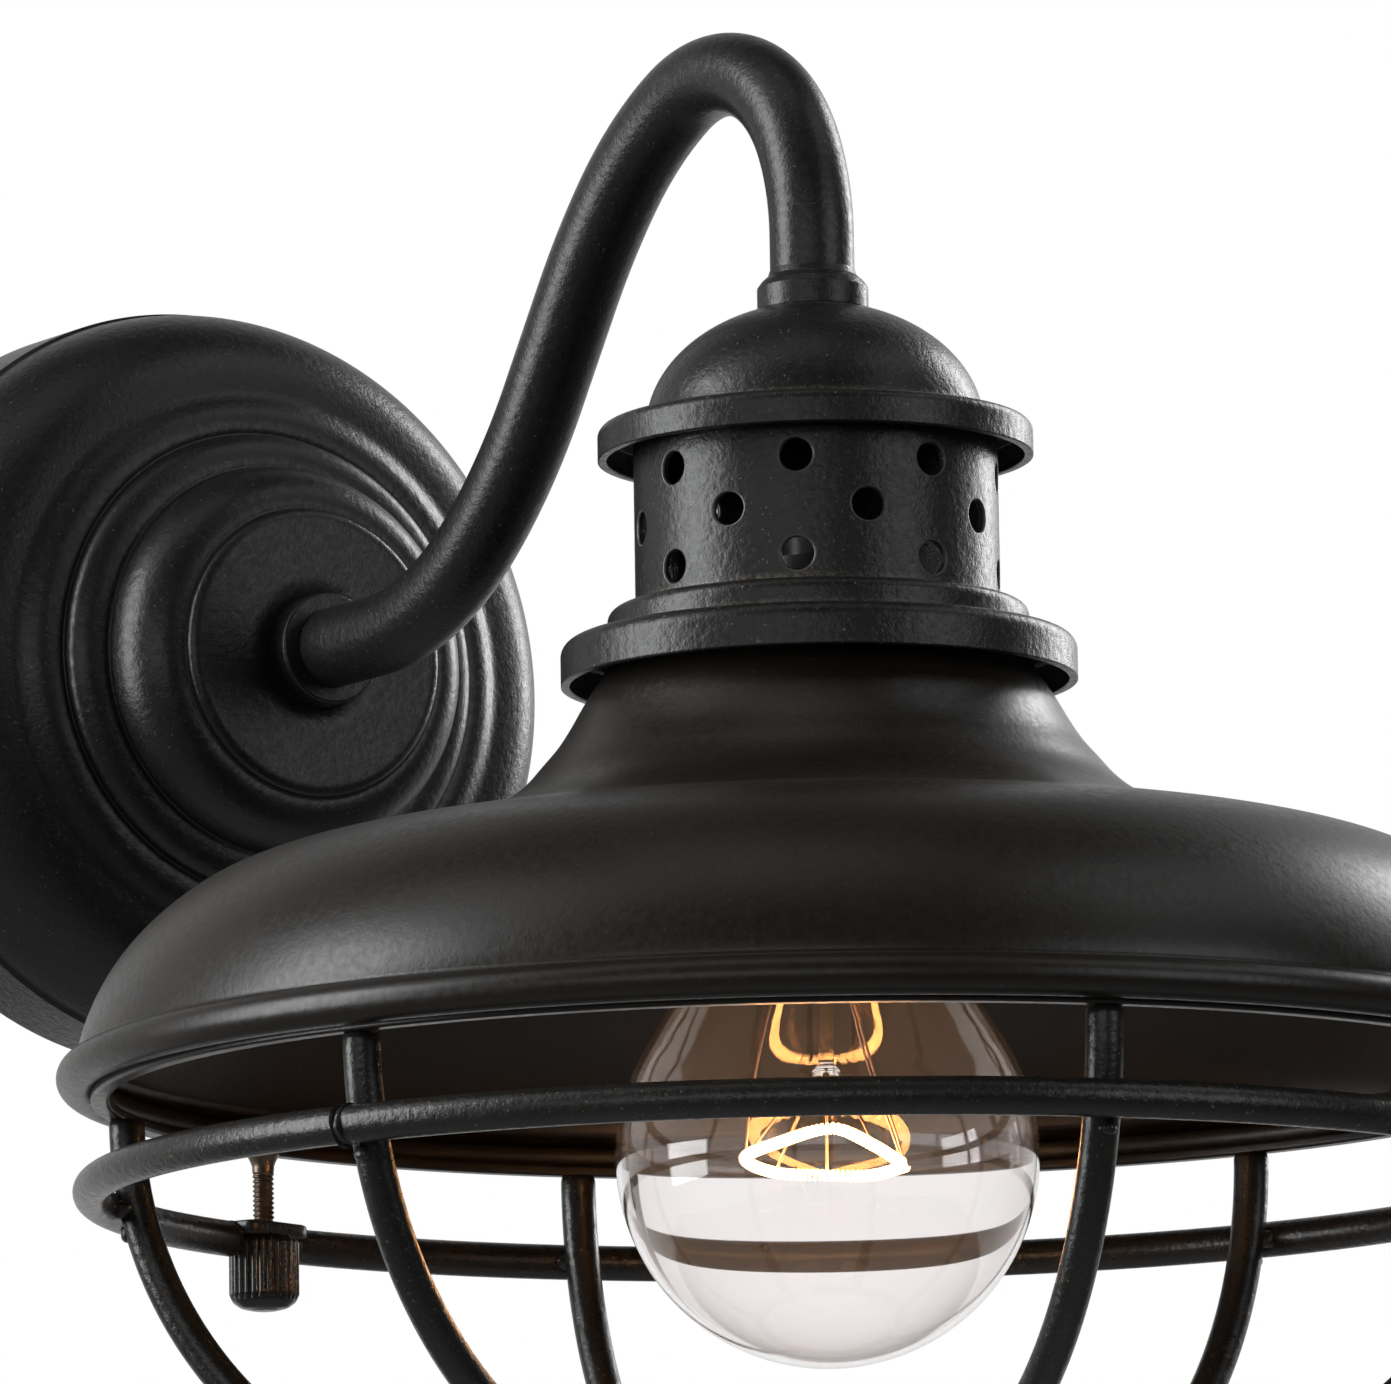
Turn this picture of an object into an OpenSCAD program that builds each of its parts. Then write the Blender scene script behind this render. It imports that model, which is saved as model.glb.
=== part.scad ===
// Gooseneck cage wall light, built as separate pieces in one frame.
// Frame: origin at the centre of the wall plate's back face, +Z up,
// the light stands out from the wall toward -Y. Millimetres.
// Heights in the shade group are measured up from the rim plane (z = 0 there).

/* [Layout] */
// Wall to the shade's axis
reach = 186; // [150:1:230]
// Wall plate centre down to the shade's rim plane
drop = 81.5; // [70:0.5:110]
// Sheet thickness of the spun and stamped parts
sheet = 1.2; // [0.8:0.1:1.6]

/* [Wall plate] */
// Wall plate diameter
plate_d = 115; // [108:0.5:130]
// Depth of the straight side wall
plate_wall = 14.5; // [10:0.5:18]
// Front face of the flat disc above the wall
plate_h = 49.6; // [46:0.2:56]
// Radius of the first crease
step1_r = 35.5; // [33:0.5:38]
// Radius of the second crease
step2_r = 29.9; // [28:0.1:31]
// Radius of the crease around the flat disc
step3_r = 22.1; // [20:0.1:24]

/* [Mounting] */
// Spacing of the two box-screw slots
slot_pitch = 83.3; // [70:0.1:90]
// Width of each box-screw slot
slot_w = 4.4; // [4:0.1:5]
// Straight travel of a screw in its slot
slot_travel = 4; // [2:0.5:6]
// Crossbar width
bar_w = 18; // [14:1:24]
// Crossbar stock thickness
bar_t = 1.6; // [1.2:0.1:2.5]
// Side screw thread diameter
side_screw_d = 3.5; // [3:0.1:4]
// Side screw axis above the wall
side_screw_h = 7; // [6:0.5:8]
// Ground screw from the crossbar's centre
ground_x = 22; // [18:0.5:26]
// Ground screw thread diameter
ground_d = 4; // [3.5:0.1:5]
// Connectors from the wall plate's axis
conn_x = 11; // [9:0.5:14]

/* [Arm] */
// Arm tube outside diameter
tube_d = 12; // [11:0.1:14]
// Arm tube wall
tube_t = 1.2; // [0.8:0.1:1.6]
// Straight length at the wall plate
arm_start = 16.2; // [12:0.2:18]
// First bend, radius
bend1_r = 50; // [40:1:60]
// First bend, angle
bend1_a = 36; // [30:1:40]
// Second bend, radius
bend2_r = 85; // [70:1:100]
// Second bend, angle
bend2_a = 18; // [14:1:20]
// Third bend (back over), radius
bend3_r = 100; // [80:1:120]
// Third bend, angle
bend3_a = 10; // [6:1:14]
// Fourth bend, radius
bend4_r = 55; // [45:1:62]
// Fourth bend, angle
bend4_a = 21; // [16:1:26]
// Crook at the top, radius
crook_r = 24; // [20:0.5:28]
// Crook at the top, angle
crook_a = 90; // [84:1:96]
// Last bend down to the shade, radius
bend6_r = 33; // [28:1:38]
// Radial clearance of a threaded nipple in a sheet-metal hole
nipple_fit = 0.2; // [0.1:0.05:0.4]

/* [Vent stack] */
// Height of the flat on top of the cap
cap_top = 110.8; // [108:0.2:114]
// Cap flange outside radius
cap_r = 30.84; // [29:0.01:33]
// Drum outside radius
drum_r = 25.8; // [24.5:0.1:27]
// Drum wall
drum_t = 1; // [0.8:0.1:1.2]
// Vent hole diameter
vent_d = 4.66; // [4:0.01:5.5]
// Vent holes in each row
vent_n = 8; // [6:1:10]
// Height of the middle row of vent holes
vent_z = 79; // [77:0.1:81]
// Spacing of the rows of vent holes
vent_pitch = 7; // [6:0.1:7.5]
// Angle of the first hole in the top row
vent_phi = 5.2; // [0:0.1:22]
// Skirt lower flange radius
skirt_r = 36.5; // [35.5:0.1:38]

/* [Shade] */
// Shade diameter over the rolled bead
shade_d = 216; // [212:0.5:224]
// Radius of the rolled bead's section
bead_r = 2.8; // [2.4:0.1:3]
// Radius of the neck's top
neck_r = 28.6; // [27.8:0.1:28.6]
// Height of the neck's top face
neck_z = 66.95; // [66.5:0.05:67.2]

/* [Cage] */
// Cage wire diameter (ribs and rings)
wire_d = 5.2; // [4.6:0.1:5.6]
// Cage ring's centre line in from the shade's edge
ring_inset = 4.8; // [4.4:0.1:5.2]
// Cage ring below the rim plane
ring_drop = 13.6; // [12:0.1:16]
// Bend radius of a rib
rib_bend = 58; // [54:0.5:60]
// Turn of a rib's bend
rib_turn = 78; // [74:1:80]
// Number of ribs
rib_n = 6; // [6]
// Angle of the first rib
rib_phi = -12; // [-20:1:-4]
// Radius of the small ring at the bottom
hub_r = 24; // [20:0.5:28]

/* [Thumb nuts] */
// Stud thread diameter
stud_d = 3.2; // [3:0.1:4]
// Studs' circle in from the shade's edge
stud_inset = 6.1; // [5.7:0.1:6.5]
// Angle of the first stud
stud_phi = -160; // [-164:0.5:-158]
// Thumb nut diameter
nut_d = 10.2; // [9.4:0.1:10.6]
// Thumb nut height
nut_h = 10.8; // [9.5:0.1:12]
// Radial clearance of the nut's thread on its stud
nut_fit = 0.05; // [0.02:0.01:0.1]
// Lug thickness
lug_t = 2; // [1.5:0.1:2.5]
// Lug depth along the radius
lug_w = 7; // [6:0.5:9]

/* [Bulb and lampholder] */
// Bulb glass diameter
bulb_d = 59.5; // [58:0.5:60]
// Height of the bulb's widest circle (below the rim plane)
bulb_z = -9.6; // [-11:0.1:-8]
// Bulb length from glass tip to contact
bulb_len = 103; // [102.5:0.1:103.5]
// Bulb screw base diameter
base_d = 26; // [25.8:0.05:26.2]
// Bulb screw base length, rim to contact
base_len = 25.7; // [25:0.1:27]
// Radius of the filament's loop
fil_r = 10.5; // [9:0.5:12]
// Radial clearance of the bulb's base in the screw shell
base_fit = 0.05; // [0.02:0.01:0.1]
// Lampholder body radius
holder_r = 17; // [16:0.1:18]
// Terminal screws from the lampholder's axis
term_x = 9; // [8:0.5:10]
// Lead diameter over its covering
lead_d = 2.4; // [2:0.1:2.6]

/* [Hidden] */
$fn = 96;
plate_r = plate_d / 2;
disc_r = step3_r - 2.2;
tube_r = tube_d / 2;
bore_r = tube_r - tube_t;          // nipples fill the tube's bore
nip_bore = bore_r - 1.2;
ferrule_r = tube_r + 2.5;
collar_r = tube_r + 1.9;
head1 = bend1_a;
head2 = bend1_a + bend2_a;
bend6_a = 90 + head2 - bend3_a - bend4_a - crook_a;
head3 = head2 - bend3_a;
head4 = head3 - bend4_a;
head5 = head4 - crook_a;
// reach used by everything but the straight middle of the arm
arm_u0 = bend1_r * sin(head1) + bend2_r * (sin(head2) - sin(head1))
       + bend3_r * (sin(head2) - sin(head3)) + bend4_r * (sin(head3) - sin(head4))
       + crook_r * (sin(head4) - sin(head5)) + bend6_r * (sin(head5) + 1);
arm_mid = (reach - plate_h - arm_start - arm_u0) / cos(head2);
P0 = [plate_h + arm_start, 0];
P1 = P0 + bend1_r * [sin(head1), 1 - cos(head1)];
P2 = P1 + bend2_r * [sin(head2) - sin(head1), cos(head1) - cos(head2)];
P3 = P2 + arm_mid * [cos(head2), sin(head2)];
P4 = P3 + bend3_r * [sin(head2) - sin(head3), cos(head3) - cos(head2)];
P5 = P4 + bend4_r * [sin(head3) - sin(head4), cos(head4) - cos(head3)];
P6 = P5 + crook_r * [sin(head4) - sin(head5), cos(head5) - cos(head4)];
P7 = P6 + bend6_r * [sin(head5) + 1, -cos(head5)];
tube_end = cap_top + 0.6;          // in the collar, above the rim plane
rim_r = shade_d / 2;
ring_r = rim_r - ring_inset;
stud_r = rim_r - stud_inset;
bead_c = rim_r - bead_r;
bead_z = bead_r - 0.5;
band_out = bead_c - 2;             // rim band, welded to the bead
band_in = band_out - 2.6;
band_z = -1;
wire_r = wire_d / 2;
rib_r = wire_r - 0.05;
rib_top = band_z - 0.05;
// the rib crosses the ring with a 0.35 mm weld seat
rib_cross = ring_r - wire_r - rib_r + 0.35;
rib_c = rib_cross - sqrt(pow(rib_bend, 2) - pow(ring_drop + rib_top, 2));
rib_end = [rib_c + rib_bend * cos(rib_turn), rib_top - rib_bend * sin(rib_turn)];
rib_run = (rib_end[0] - hub_r - 1.6) / sin(rib_turn);
hub_z = rib_end[1] - rib_run * cos(rib_turn) - 0.3;
lug_top = -ring_drop + wire_r;
nut_top = lug_top - lug_t;
gap_half = nut_d / 2 + 1.3;        // ring ends stand clear of the nut
gap_a = asin(gap_half / ring_r);
glass_r = bulb_d / 2;
tip_z = bulb_z - glass_r + bulb_len;   // centre contact
cap_z = tip_z - base_len;              // lower rim of the screw base
base_r = base_d / 2;
shell_in = base_r + base_fit;
shell_out = shell_in + 0.5;
floor_z = tip_z + 0.5;                 // underside of the holder's floor
lead_x = 1.6;
lead_r = lead_d / 2;

// outward-to-inward profile moved in by t (left side), mitred
function unit2(v) = v / norm(v);
function left2(a, b) = let (d = unit2(b - a)) [-d[1], d[0]];
function miter(p, i, t) = let (n = len(p),
    a = left2(p[max(i - 1, 0)], p[max(i, 1)]),
    b = left2(p[min(i, n - 2)], p[min(i + 1, n - 1)]))
    p[i] + t * (a + b) / (1 + a * b);
function shell(p, t) = concat(p, [for (i = [len(p) - 1:-1:0]) miter(p, i, t)]);
// quarter of an ellipse from a (steep end) to b (flat end)
function roll(a, b, n) = [for (i = [0:n]) let (s = 90 * i / n)
    [b[0] + (a[0] - b[0]) * cos(s), a[1] + (b[1] - a[1]) * sin(s)]];

plate_profile = concat(
    [[plate_r, 0], [plate_r, plate_wall]],
    [for (s = [0:12.5:75]) [plate_r - 14.5 + 14 * cos(s), plate_wall + 0.3 + 17 * sin(s)]],
    [for (q = [[9.2, -16.3], [7.7, -16.1], [6.5, -15.8], [5.5, -15.2], [4.6, -14.6], [3.6, -14.95 + 0.7],
               [2.4, -14.05], [1.2, -14.0]]) [step1_r + q[0], plate_h - 1.0 + q[1] + 0.2]],
    roll([step1_r, plate_h - 14.9], [step2_r, plate_h - 11.1], 4),
    roll([step2_r - 0.15, plate_h - 10.9], [step3_r, plate_h - 1.7], 6),
    roll([step3_r - 0.1, plate_h - 1.5], [disc_r, plate_h], 3),
    [[bore_r + nipple_fit, plate_h]]);

// cap: flange, then the dome, whose foot lies just inside the drum's wall
dome_r = drum_r - 1.5;
dome_z = cap_top - 15.9;
drum_top = dome_z - sheet;         // the drum meets the cap's underside
cap_profile = concat(
    [for (q = [[0, -5.2], [0, -2.3], [0.35, -1.3], [1.15, -0.6], [2.4, -0.3]]) [cap_r - q[0], dome_z + q[1]]],
    [for (q = [[0, 15.9], [0.3, 14.6], [0.7, 12.6], [1.4, 10.7], [2.3, 8.9], [3.4, 7.2], [4.8, 5.5], [6.4, 3.9],
               [8.3, 2.5], [10.7, 1.2], [13.3, 0.3], [16, 0]]) [dome_r - q[0], cap_top - q[1]]],
    [[bore_r + nipple_fit, cap_top]]);

skirt_profile = concat(
    [for (q = [[0, -9.45], [0, -5.75], [0.4, -4.55], [1.3, -3.75], [2.6, -3.35]]) [skirt_r - q[0], neck_z + q[1]]],
    [for (q = [[1.3, -2.95], [1.2, -0.75], [0.9, 0.25], [0.1, 0.95], [-1.1, 1.3]]) [neck_r + q[0], neck_z + q[1]]],
    [[drum_r, neck_z + 1.45]]);

// shade: the dome up to its shoulder, the flare drawn for a rise of 34.35 and fitted to the real one, the neck
shoulder_z = 32.6;
flare = (neck_z - shoulder_z) / 34.35;
shade_profile = concat(
    [for (q = [[0.1, 4.6], [-0.3, 7.2], [-1.5, 10.6], [-3.5, 14.6], [-6.2, 18.7], [-9.7, 22.6],
               [-13.7, 26.0], [-18.2, 28.9], [-23.2, 31.0], [-29.2, shoulder_z]]) [bead_c + q[0], q[1]]],
    [for (q = [[39.4, 1.3], [31.4, 2.4], [24.2, 4.3], [19.7, 6], [16, 8], [13.2, 10.3], [11, 12.8], [8.6, 15.6],
               [6.7, 18.5], [5.1, 21.3], [3.8, 23.4], [2.6, 25.2], [1.3, 27.4], [0.3, 29.2], [0, 30.6]])
        [neck_r + q[0], shoulder_z + flare * q[1]]],
    [[neck_r, neck_z - 1.3], [neck_r - 0.5, neck_z - 0.4], [neck_r - 1.6, neck_z], [holder_r + 3, neck_z]]);

// ---- placing helpers ----
module shade_frame() translate([0, -reach, -drop]) children();
module on_plate() rotate([90, 0, 0]) children();          // local z = height above the wall
module phi(a, r = 0) rotate([0, 0, a]) translate([0, -r, 0]) children();
module arm_plane(x = 0) translate([x, 0, 0]) rotate([90, 0, -90]) children(); // local x = -Y, y = Z
module rod(a, b, r) translate(a) rotate([0, acos((b - a)[2] / norm(b - a)), atan2((b - a)[1], (b - a)[0])])
    cylinder(r = r, h = norm(b - a));
module ringz(ri, ro, z0, z1) translate([0, 0, z0]) difference() {
    cylinder(r = ro, h = z1 - z0);
    translate([0, 0, -1]) cylinder(r = ri, h = z1 - z0 + 2);
}
// one bend of the arm in its plane: start p, heading h, radius R, turn t (up is positive)
module bend(p, h, R, t, r) translate([p[0] - R * sign(t) * sin(h), p[1] + R * sign(t) * cos(h), 0])
    rotate([0, 0, t > 0 ? h - 90 : h + 90 + t])
    rotate_extrude(angle = abs(t)) translate([R, 0]) circle(r = r);
module run(p, h, L, r) translate([p[0], p[1], 0]) rotate([0, 0, h]) rotate([0, 90, 0]) cylinder(r = r, h = L);
// joins two pieces of a sweep that meet at p: a short collar 0.02 mm proud of the section
module seam(p, h, r) translate([p[0], p[1], 0]) rotate([0, 0, h]) rotate([0, 90, 0])
    translate([0, 0, -0.15]) cylinder(r = r + 0.02, h = 0.3);
// the arm's centre line swept with a round section, from height h0 to zend above the rim plane
module arm_sweep(r, h0, zend) union() {
    run([h0, 0], 0, P0[0] - h0, r);
    seam(P0, 0, r);
    bend(P0, 0, bend1_r, bend1_a, r);
    seam(P1, head1, r);
    bend(P1, head1, bend2_r, bend2_a, r);
    seam(P2, head2, r);
    run(P2, head2, arm_mid, r);
    seam(P3, head2, r);
    bend(P3, head2, bend3_r, -bend3_a, r);
    seam(P4, head3, r);
    bend(P4, head3, bend4_r, -bend4_a, r);
    seam(P5, head4, r);
    bend(P5, head4, crook_r, -crook_a, r);
    seam(P6, head5, r);
    bend(P6, head5, bend6_r, -bend6_a, r);
    seam(P7, -90, r);
    run(P7, -90, P7[1] - (zend - drop), r);
}

// ---- wall plate and mounting ----
module wall_plate() color("#2b2a29") difference() {
    on_plate() rotate_extrude() polygon(shell(plate_profile, sheet));
    translate([-plate_r - 5, -side_screw_h, 0]) rotate([0, 90, 0])
        cylinder(d = side_screw_d + 0.2, h = plate_d + 10);
}
tab_w = 10;
bar_x = sqrt(pow(plate_r - sheet, 2) - pow(tab_w / 2, 2));         // tab face meets the plate's inner wall
bar_half = sqrt(pow(plate_r - sheet, 2) - pow(bar_w / 2, 2)) - 0.1; // corners stay clear of it
module crossbar() color("#a9adb0") difference() {
    union() {
        translate([-bar_half, -bar_t, -bar_w / 2]) cube([2 * bar_half, bar_t, bar_w]);
        for (s = [-1, 1]) translate([s > 0 ? bar_x - bar_t : -bar_x, -12, -tab_w / 2]) cube([bar_t, 12, tab_w]);
    }
    translate([0, 1, 0]) rotate([90, 0, 0]) cylinder(r = 6, h = bar_t + 2);
    for (s = [-1, 1]) translate([s * slot_pitch / 2, 1, 0]) {
        for (t = [-1, 1]) translate([t * slot_travel / 2, 0, 0]) rotate([90, 0, 0]) cylinder(d = slot_w, h = bar_t + 2);
        translate([-slot_travel / 2, -bar_t - 2, -slot_w / 2]) cube([slot_travel, bar_t + 2, slot_w]);
    }
    translate([ground_x, 1, 0]) rotate([90, 0, 0]) cylinder(d = ground_d, h = bar_t + 2);
    translate([-plate_r - 5, -side_screw_h, 0]) rotate([0, 90, 0]) cylinder(d = side_screw_d, h = plate_d + 10);
}
head_r = side_screw_d / 2 + 1.55;
module side_screws() color("#2b2a29") for (s = [0, 180])
    rotate([0, s, 0]) translate([0, -side_screw_h, 0]) rotate([0, 90, 0]) difference() {
        union() {
            translate([0, 0, bar_x - 5]) cylinder(d = side_screw_d, h = plate_r - bar_x + 5.2);
            translate([0, 0, plate_r]) rotate_extrude()
                polygon([[0, 0], [head_r, 0], [head_r, 0.9], [head_r - 0.4, 1.6], [head_r - 1.3, 2.1], [0, 2.3]]);
        }
        translate([-4, -0.5, plate_r + 1.2]) cube([8, 1, 2]);
    }
module ground_screw() color("#3f7d4a") translate([ground_x, 0, 0]) rotate([90, 0, 0]) difference() {
    union() {
        cylinder(d = ground_d, h = bar_t + 0.4);
        translate([0, 0, bar_t]) cylinder(r = ground_d / 2 + 2.2, h = 2.6, $fn = 6);
    }
    translate([-5, -0.5, bar_t + 1.6]) cube([10, 1, 2]);
}

// ---- arm ----
module arm_tube() color("#2b2a29") arm_plane() difference() {
    arm_sweep(tube_r, plate_h + 0.6, tube_end, $fn = 44);
    arm_sweep(bore_r, plate_h - 1, tube_end - 1, $fn = 44);
}
module plate_ferrule() color("#2b2a29") on_plate() difference() {
    translate([0, 0, plate_h]) rotate_extrude()
        polygon([[bore_r, 0], [ferrule_r, 0], [ferrule_r, 3.8], [ferrule_r - 0.5, 4.4], [tube_r, 4.4], [tube_r, 0.6], [bore_r, 0.6]]);
}
module plate_nipple() color("#b9a36a") on_plate() ringz(nip_bore, bore_r, plate_h - 11.6, plate_h + 10.4);
module plate_washer() color("#a9adb0") on_plate()
    ringz(bore_r + nipple_fit, bore_r + 4.2, plate_h - sheet - 1, plate_h - sheet);
module hex_nut(z0, z1) translate([0, 0, z0]) difference() {
    cylinder(r = bore_r + 3.3, h = z1 - z0, $fn = 6);
    translate([0, 0, -1]) cylinder(r = bore_r, h = z1 - z0 + 2);
}
module plate_nut() color("#a9adb0") on_plate() hex_nut(plate_h - sheet - 5, plate_h - sheet - 1);
module arm_collar() color("#2b2a29") shade_frame() rotate_extrude()
    polygon([[bore_r, cap_top], [collar_r, cap_top], [collar_r, cap_top + 3.2], [collar_r - 0.4, cap_top + 3.9],
             [tube_r + 0.35, cap_top + 5.3], [tube_r, cap_top + 6.1], [tube_r, tube_end], [bore_r, tube_end]]);
module shade_nipple() color("#b9a36a") shade_frame() ringz(nip_bore, bore_r, floor_z + 7.8, cap_top + 10);

// ---- vent stack and shade ----
module cap() color("#2b2a29") shade_frame() rotate_extrude() polygon(shell(cap_profile, sheet));
module cap_nut() color("#a9adb0") shade_frame() hex_nut(cap_top - sheet - 4, cap_top - sheet);
module vent_drum() color("#2b2a29") shade_frame() difference() {
    ringz(drum_r - drum_t, drum_r, neck_z, drum_top);
    for (k = [0:vent_n - 1], row = [-1:1]) phi(vent_phi + (k + (row == 0 ? 0.5 : 0)) * 360 / vent_n)
        translate([0, 0, vent_z + row * vent_pitch]) rotate([90, 0, 0]) translate([0, 0, drum_r - 4]) cylinder(d = vent_d, h = 8);
}
module neck_skirt() color("#2b2a29") shade_frame() rotate_extrude() polygon(shell(skirt_profile, sheet));
module shade() color("#2b2a29") shade_frame() union() {
    rotate_extrude() polygon(shell(shade_profile, sheet));
    difference() {
        rotate_extrude() translate([bead_c, bead_z]) circle(r = bead_r);
        rotate_extrude() translate([bead_c, bead_z]) circle(r = bead_r - 1.1);
        rotate_extrude() translate([bead_c - bead_r - 1, bead_z - 0.3]) square([2.6, 1]);
    }
}
module rim_band() color("#2b2a29") shade_frame() ringz(band_in, band_out, band_z, band_z + 1.6);
module studs() color("#8d7f62") shade_frame() for (k = [0, 180]) phi(stud_phi + k, stud_r) union() {
    translate([0, 0, nut_top - 7.4]) cylinder(d = stud_d, h = band_z + 0.2 - nut_top + 7.4);
    translate([0, 0, band_z - 1.8]) cylinder(r1 = stud_d / 2, r2 = stud_d / 2 + 0.8, h = 1.8);
}

// ---- cage ----
module cage_arc(k) shade_frame() rotate([0, 0, stud_phi - 90 + k + gap_a])
    rotate_extrude(angle = 180 - 2 * gap_a) translate([ring_r, -ring_drop]) circle(r = wire_r);
module cage_ring_a() color("#2b2a29") cage_arc(0);
module cage_ring_b() color("#2b2a29") cage_arc(180);
module cage_lug(k) shade_frame() phi(stud_phi + k) difference() {
    translate([-gap_half - 0.2, -stud_r - lug_w / 2 - 0.1, lug_top - lug_t]) cube([2 * gap_half + 0.4, lug_w, lug_t]);
    translate([0, -stud_r, lug_top - lug_t - 1]) cylinder(r = stud_d / 2 + 0.3, h = lug_t + 2);
}
module cage_lug_1() color("#2b2a29") cage_lug(0);
module cage_lug_2() color("#2b2a29") cage_lug(180);
module rib(k) color("#2b2a29") shade_frame() phi(rib_phi + k * 360 / rib_n) arm_plane() union() {
    translate([rib_c, rib_top, 0]) rotate([0, 0, -rib_turn]) rotate_extrude(angle = rib_turn)
        translate([rib_bend, 0]) circle(r = rib_r);
    seam(rib_end, -90 - rib_turn, rib_r);
    run(rib_end, -90 - rib_turn, rib_run, rib_r);
    translate([rib_cross + rib_r - 0.1, -ring_drop - wire_r + 0.3, 0]) sphere(r = 1.5);
}
module rib_1() rib(0);
module rib_2() rib(1);
module rib_3() rib(2);
module rib_4() rib(3);
module rib_5() rib(4);
module rib_6() rib(5);
module cage_hub() color("#2b2a29") shade_frame() rotate_extrude() translate([hub_r, hub_z]) circle(r = wire_r);
module thumb_nut(k) shade_frame() phi(stud_phi + k, stud_r) translate([0, 0, nut_top]) difference() {
    rotate_extrude() polygon([[stud_d / 2 + nut_fit, 0], [nut_d / 2 - 0.8, 0], [nut_d / 2, -0.8], [nut_d / 2, -8.3],
        [nut_d / 2 - 0.4, -9.3], [nut_d / 2 - 1.3, -10.1], [nut_d / 2 - 2.7, -nut_h + 0.2], [0, -nut_h],
        [0, -8], [stud_d / 2 + nut_fit, -8]]);
    for (a = [0:15:345]) rotate([0, 0, a]) translate([nut_d / 2 + 0.15, 0, -8.2]) cylinder(r = 0.45, h = 9);
}
module thumb_nut_1() color("#3a3632") thumb_nut(0);
module thumb_nut_2() color("#3a3632") thumb_nut(180);

// ---- lampholder ----
module socket_cap() color("#a9adb0") shade_frame() rotate_extrude()
    polygon([[holder_r, floor_z - 6], [holder_r + 1, floor_z - 6], [holder_r + 1, floor_z + 5.5], [holder_r - 1, floor_z + 7.3],
             [7.5, floor_z + 7.3], [7.5, floor_z + 10.8], [bore_r, floor_z + 10.8], [bore_r, floor_z + 6.3],
             [holder_r - 1.4, floor_z + 6.3], [holder_r, floor_z + 5.1]]);
module socket_body() color("#e9e6df") shade_frame() difference() {
    rotate_extrude() polygon([[shell_out + 0.75, cap_z - 2], [holder_r - 0.6, cap_z - 2], [holder_r, cap_z - 1.4],
        [holder_r, floor_z + 2], [0, floor_z + 2], [0, floor_z], [shell_out, floor_z], [shell_out, cap_z + 3], [shell_out + 0.75, cap_z + 3]]);
    translate([0, 0, floor_z - 1]) cylinder(r = 1.5, h = 4);
    for (s = [-1, 1]) translate([s * term_x, 0, floor_z + 0.6]) cylinder(r = 1.2, h = 3);
}
module socket_shell() color("#c9a75a") shade_frame() rotate_extrude()
    polygon([[shell_in, cap_z + 3], [shell_out, cap_z + 3], [shell_out, floor_z], [8, floor_z], [8, floor_z - 0.5], [shell_in, floor_z - 0.5]]);
module socket_contact() color("#c9a75a") shade_frame() union() {
    translate([0, 0, tip_z]) cylinder(r = 4, h = 0.5);
    translate([0, 0, tip_z]) cylinder(r = 1.5, h = 2.8);
}
module socket_screws() color("#c9a75a") shade_frame() for (s = [-1, 1]) translate([s * term_x, 0, 0]) difference() {
    union() {
        translate([0, 0, floor_z + 0.6]) cylinder(r = 1.2, h = 2);
        translate([0, 0, floor_z + 2]) cylinder(r = 2.4, h = 2.4);
    }
    translate([-0.4, -3, floor_z + 3.6]) cube([0.8, 6, 2]);
}

// ---- leads inside the arm, connector to lampholder terminal ----
lead_out = plate_h - 18.6;         // height of the connectors above the wall
lead_low = floor_z + 3.3;          // level of the leads over the holder's floor
module lead(s) union() {
    arm_plane(s * lead_x) arm_sweep(lead_r, lead_out + 5, lead_low + 2, $fn = 24);
    // out of the wall end's bend to the connector
    translate([s * (lead_x + 5), -lead_out - 5, 0]) {
        rotate([0, 0, s > 0 ? 90 : 0]) rotate_extrude(angle = 90, $fn = 24) translate([5, 0]) circle(r = lead_r);
        translate([0, 5, 0]) rotate([0, 0, s > 0 ? 0 : 180]) run([0, 0], 0, conn_x - lead_x - 4, lead_r, $fn = 24);
        translate([0, 5, 0]) seam([0, 0], 0, lead_r, $fn = 24);
        translate([-s * 5, 0, 0]) seam([0, 0], 90, lead_r, $fn = 24);
    }
    // over the lampholder's floor to the terminal
    shade_frame() translate([s * (lead_x + 2), 0, lead_low + 2]) rotate([90, 0, 0]) {
        rotate([0, 0, s > 0 ? 180 : -90]) rotate_extrude(angle = 90, $fn = 24) translate([2, 0]) circle(r = lead_r);
        translate([0, -2, 0]) rotate([0, 0, s > 0 ? 0 : 180]) run([0, 0], 0, term_x - lead_x - 4.2, lead_r, $fn = 24);
        translate([0, -2, 0]) seam([0, 0], 0, lead_r, $fn = 24);
        translate([-s * 2, 0, 0]) seam([0, 0], 90, lead_r, $fn = 24);
    }
}
module lead_line() color("#1c1c1e") lead(1);
module lead_neutral() color("#dcdcd8") lead(-1);
module wire_connectors() color("#d9a441") for (s = [-1, 1])
    translate([s * conn_x, -lead_out, 0]) rotate([0, s * 90, 0]) difference() {
        cylinder(r1 = 4.6, r2 = 3, h = 16);
        translate([0, 0, -1]) cylinder(r = lead_r, h = 2);
    }

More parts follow.
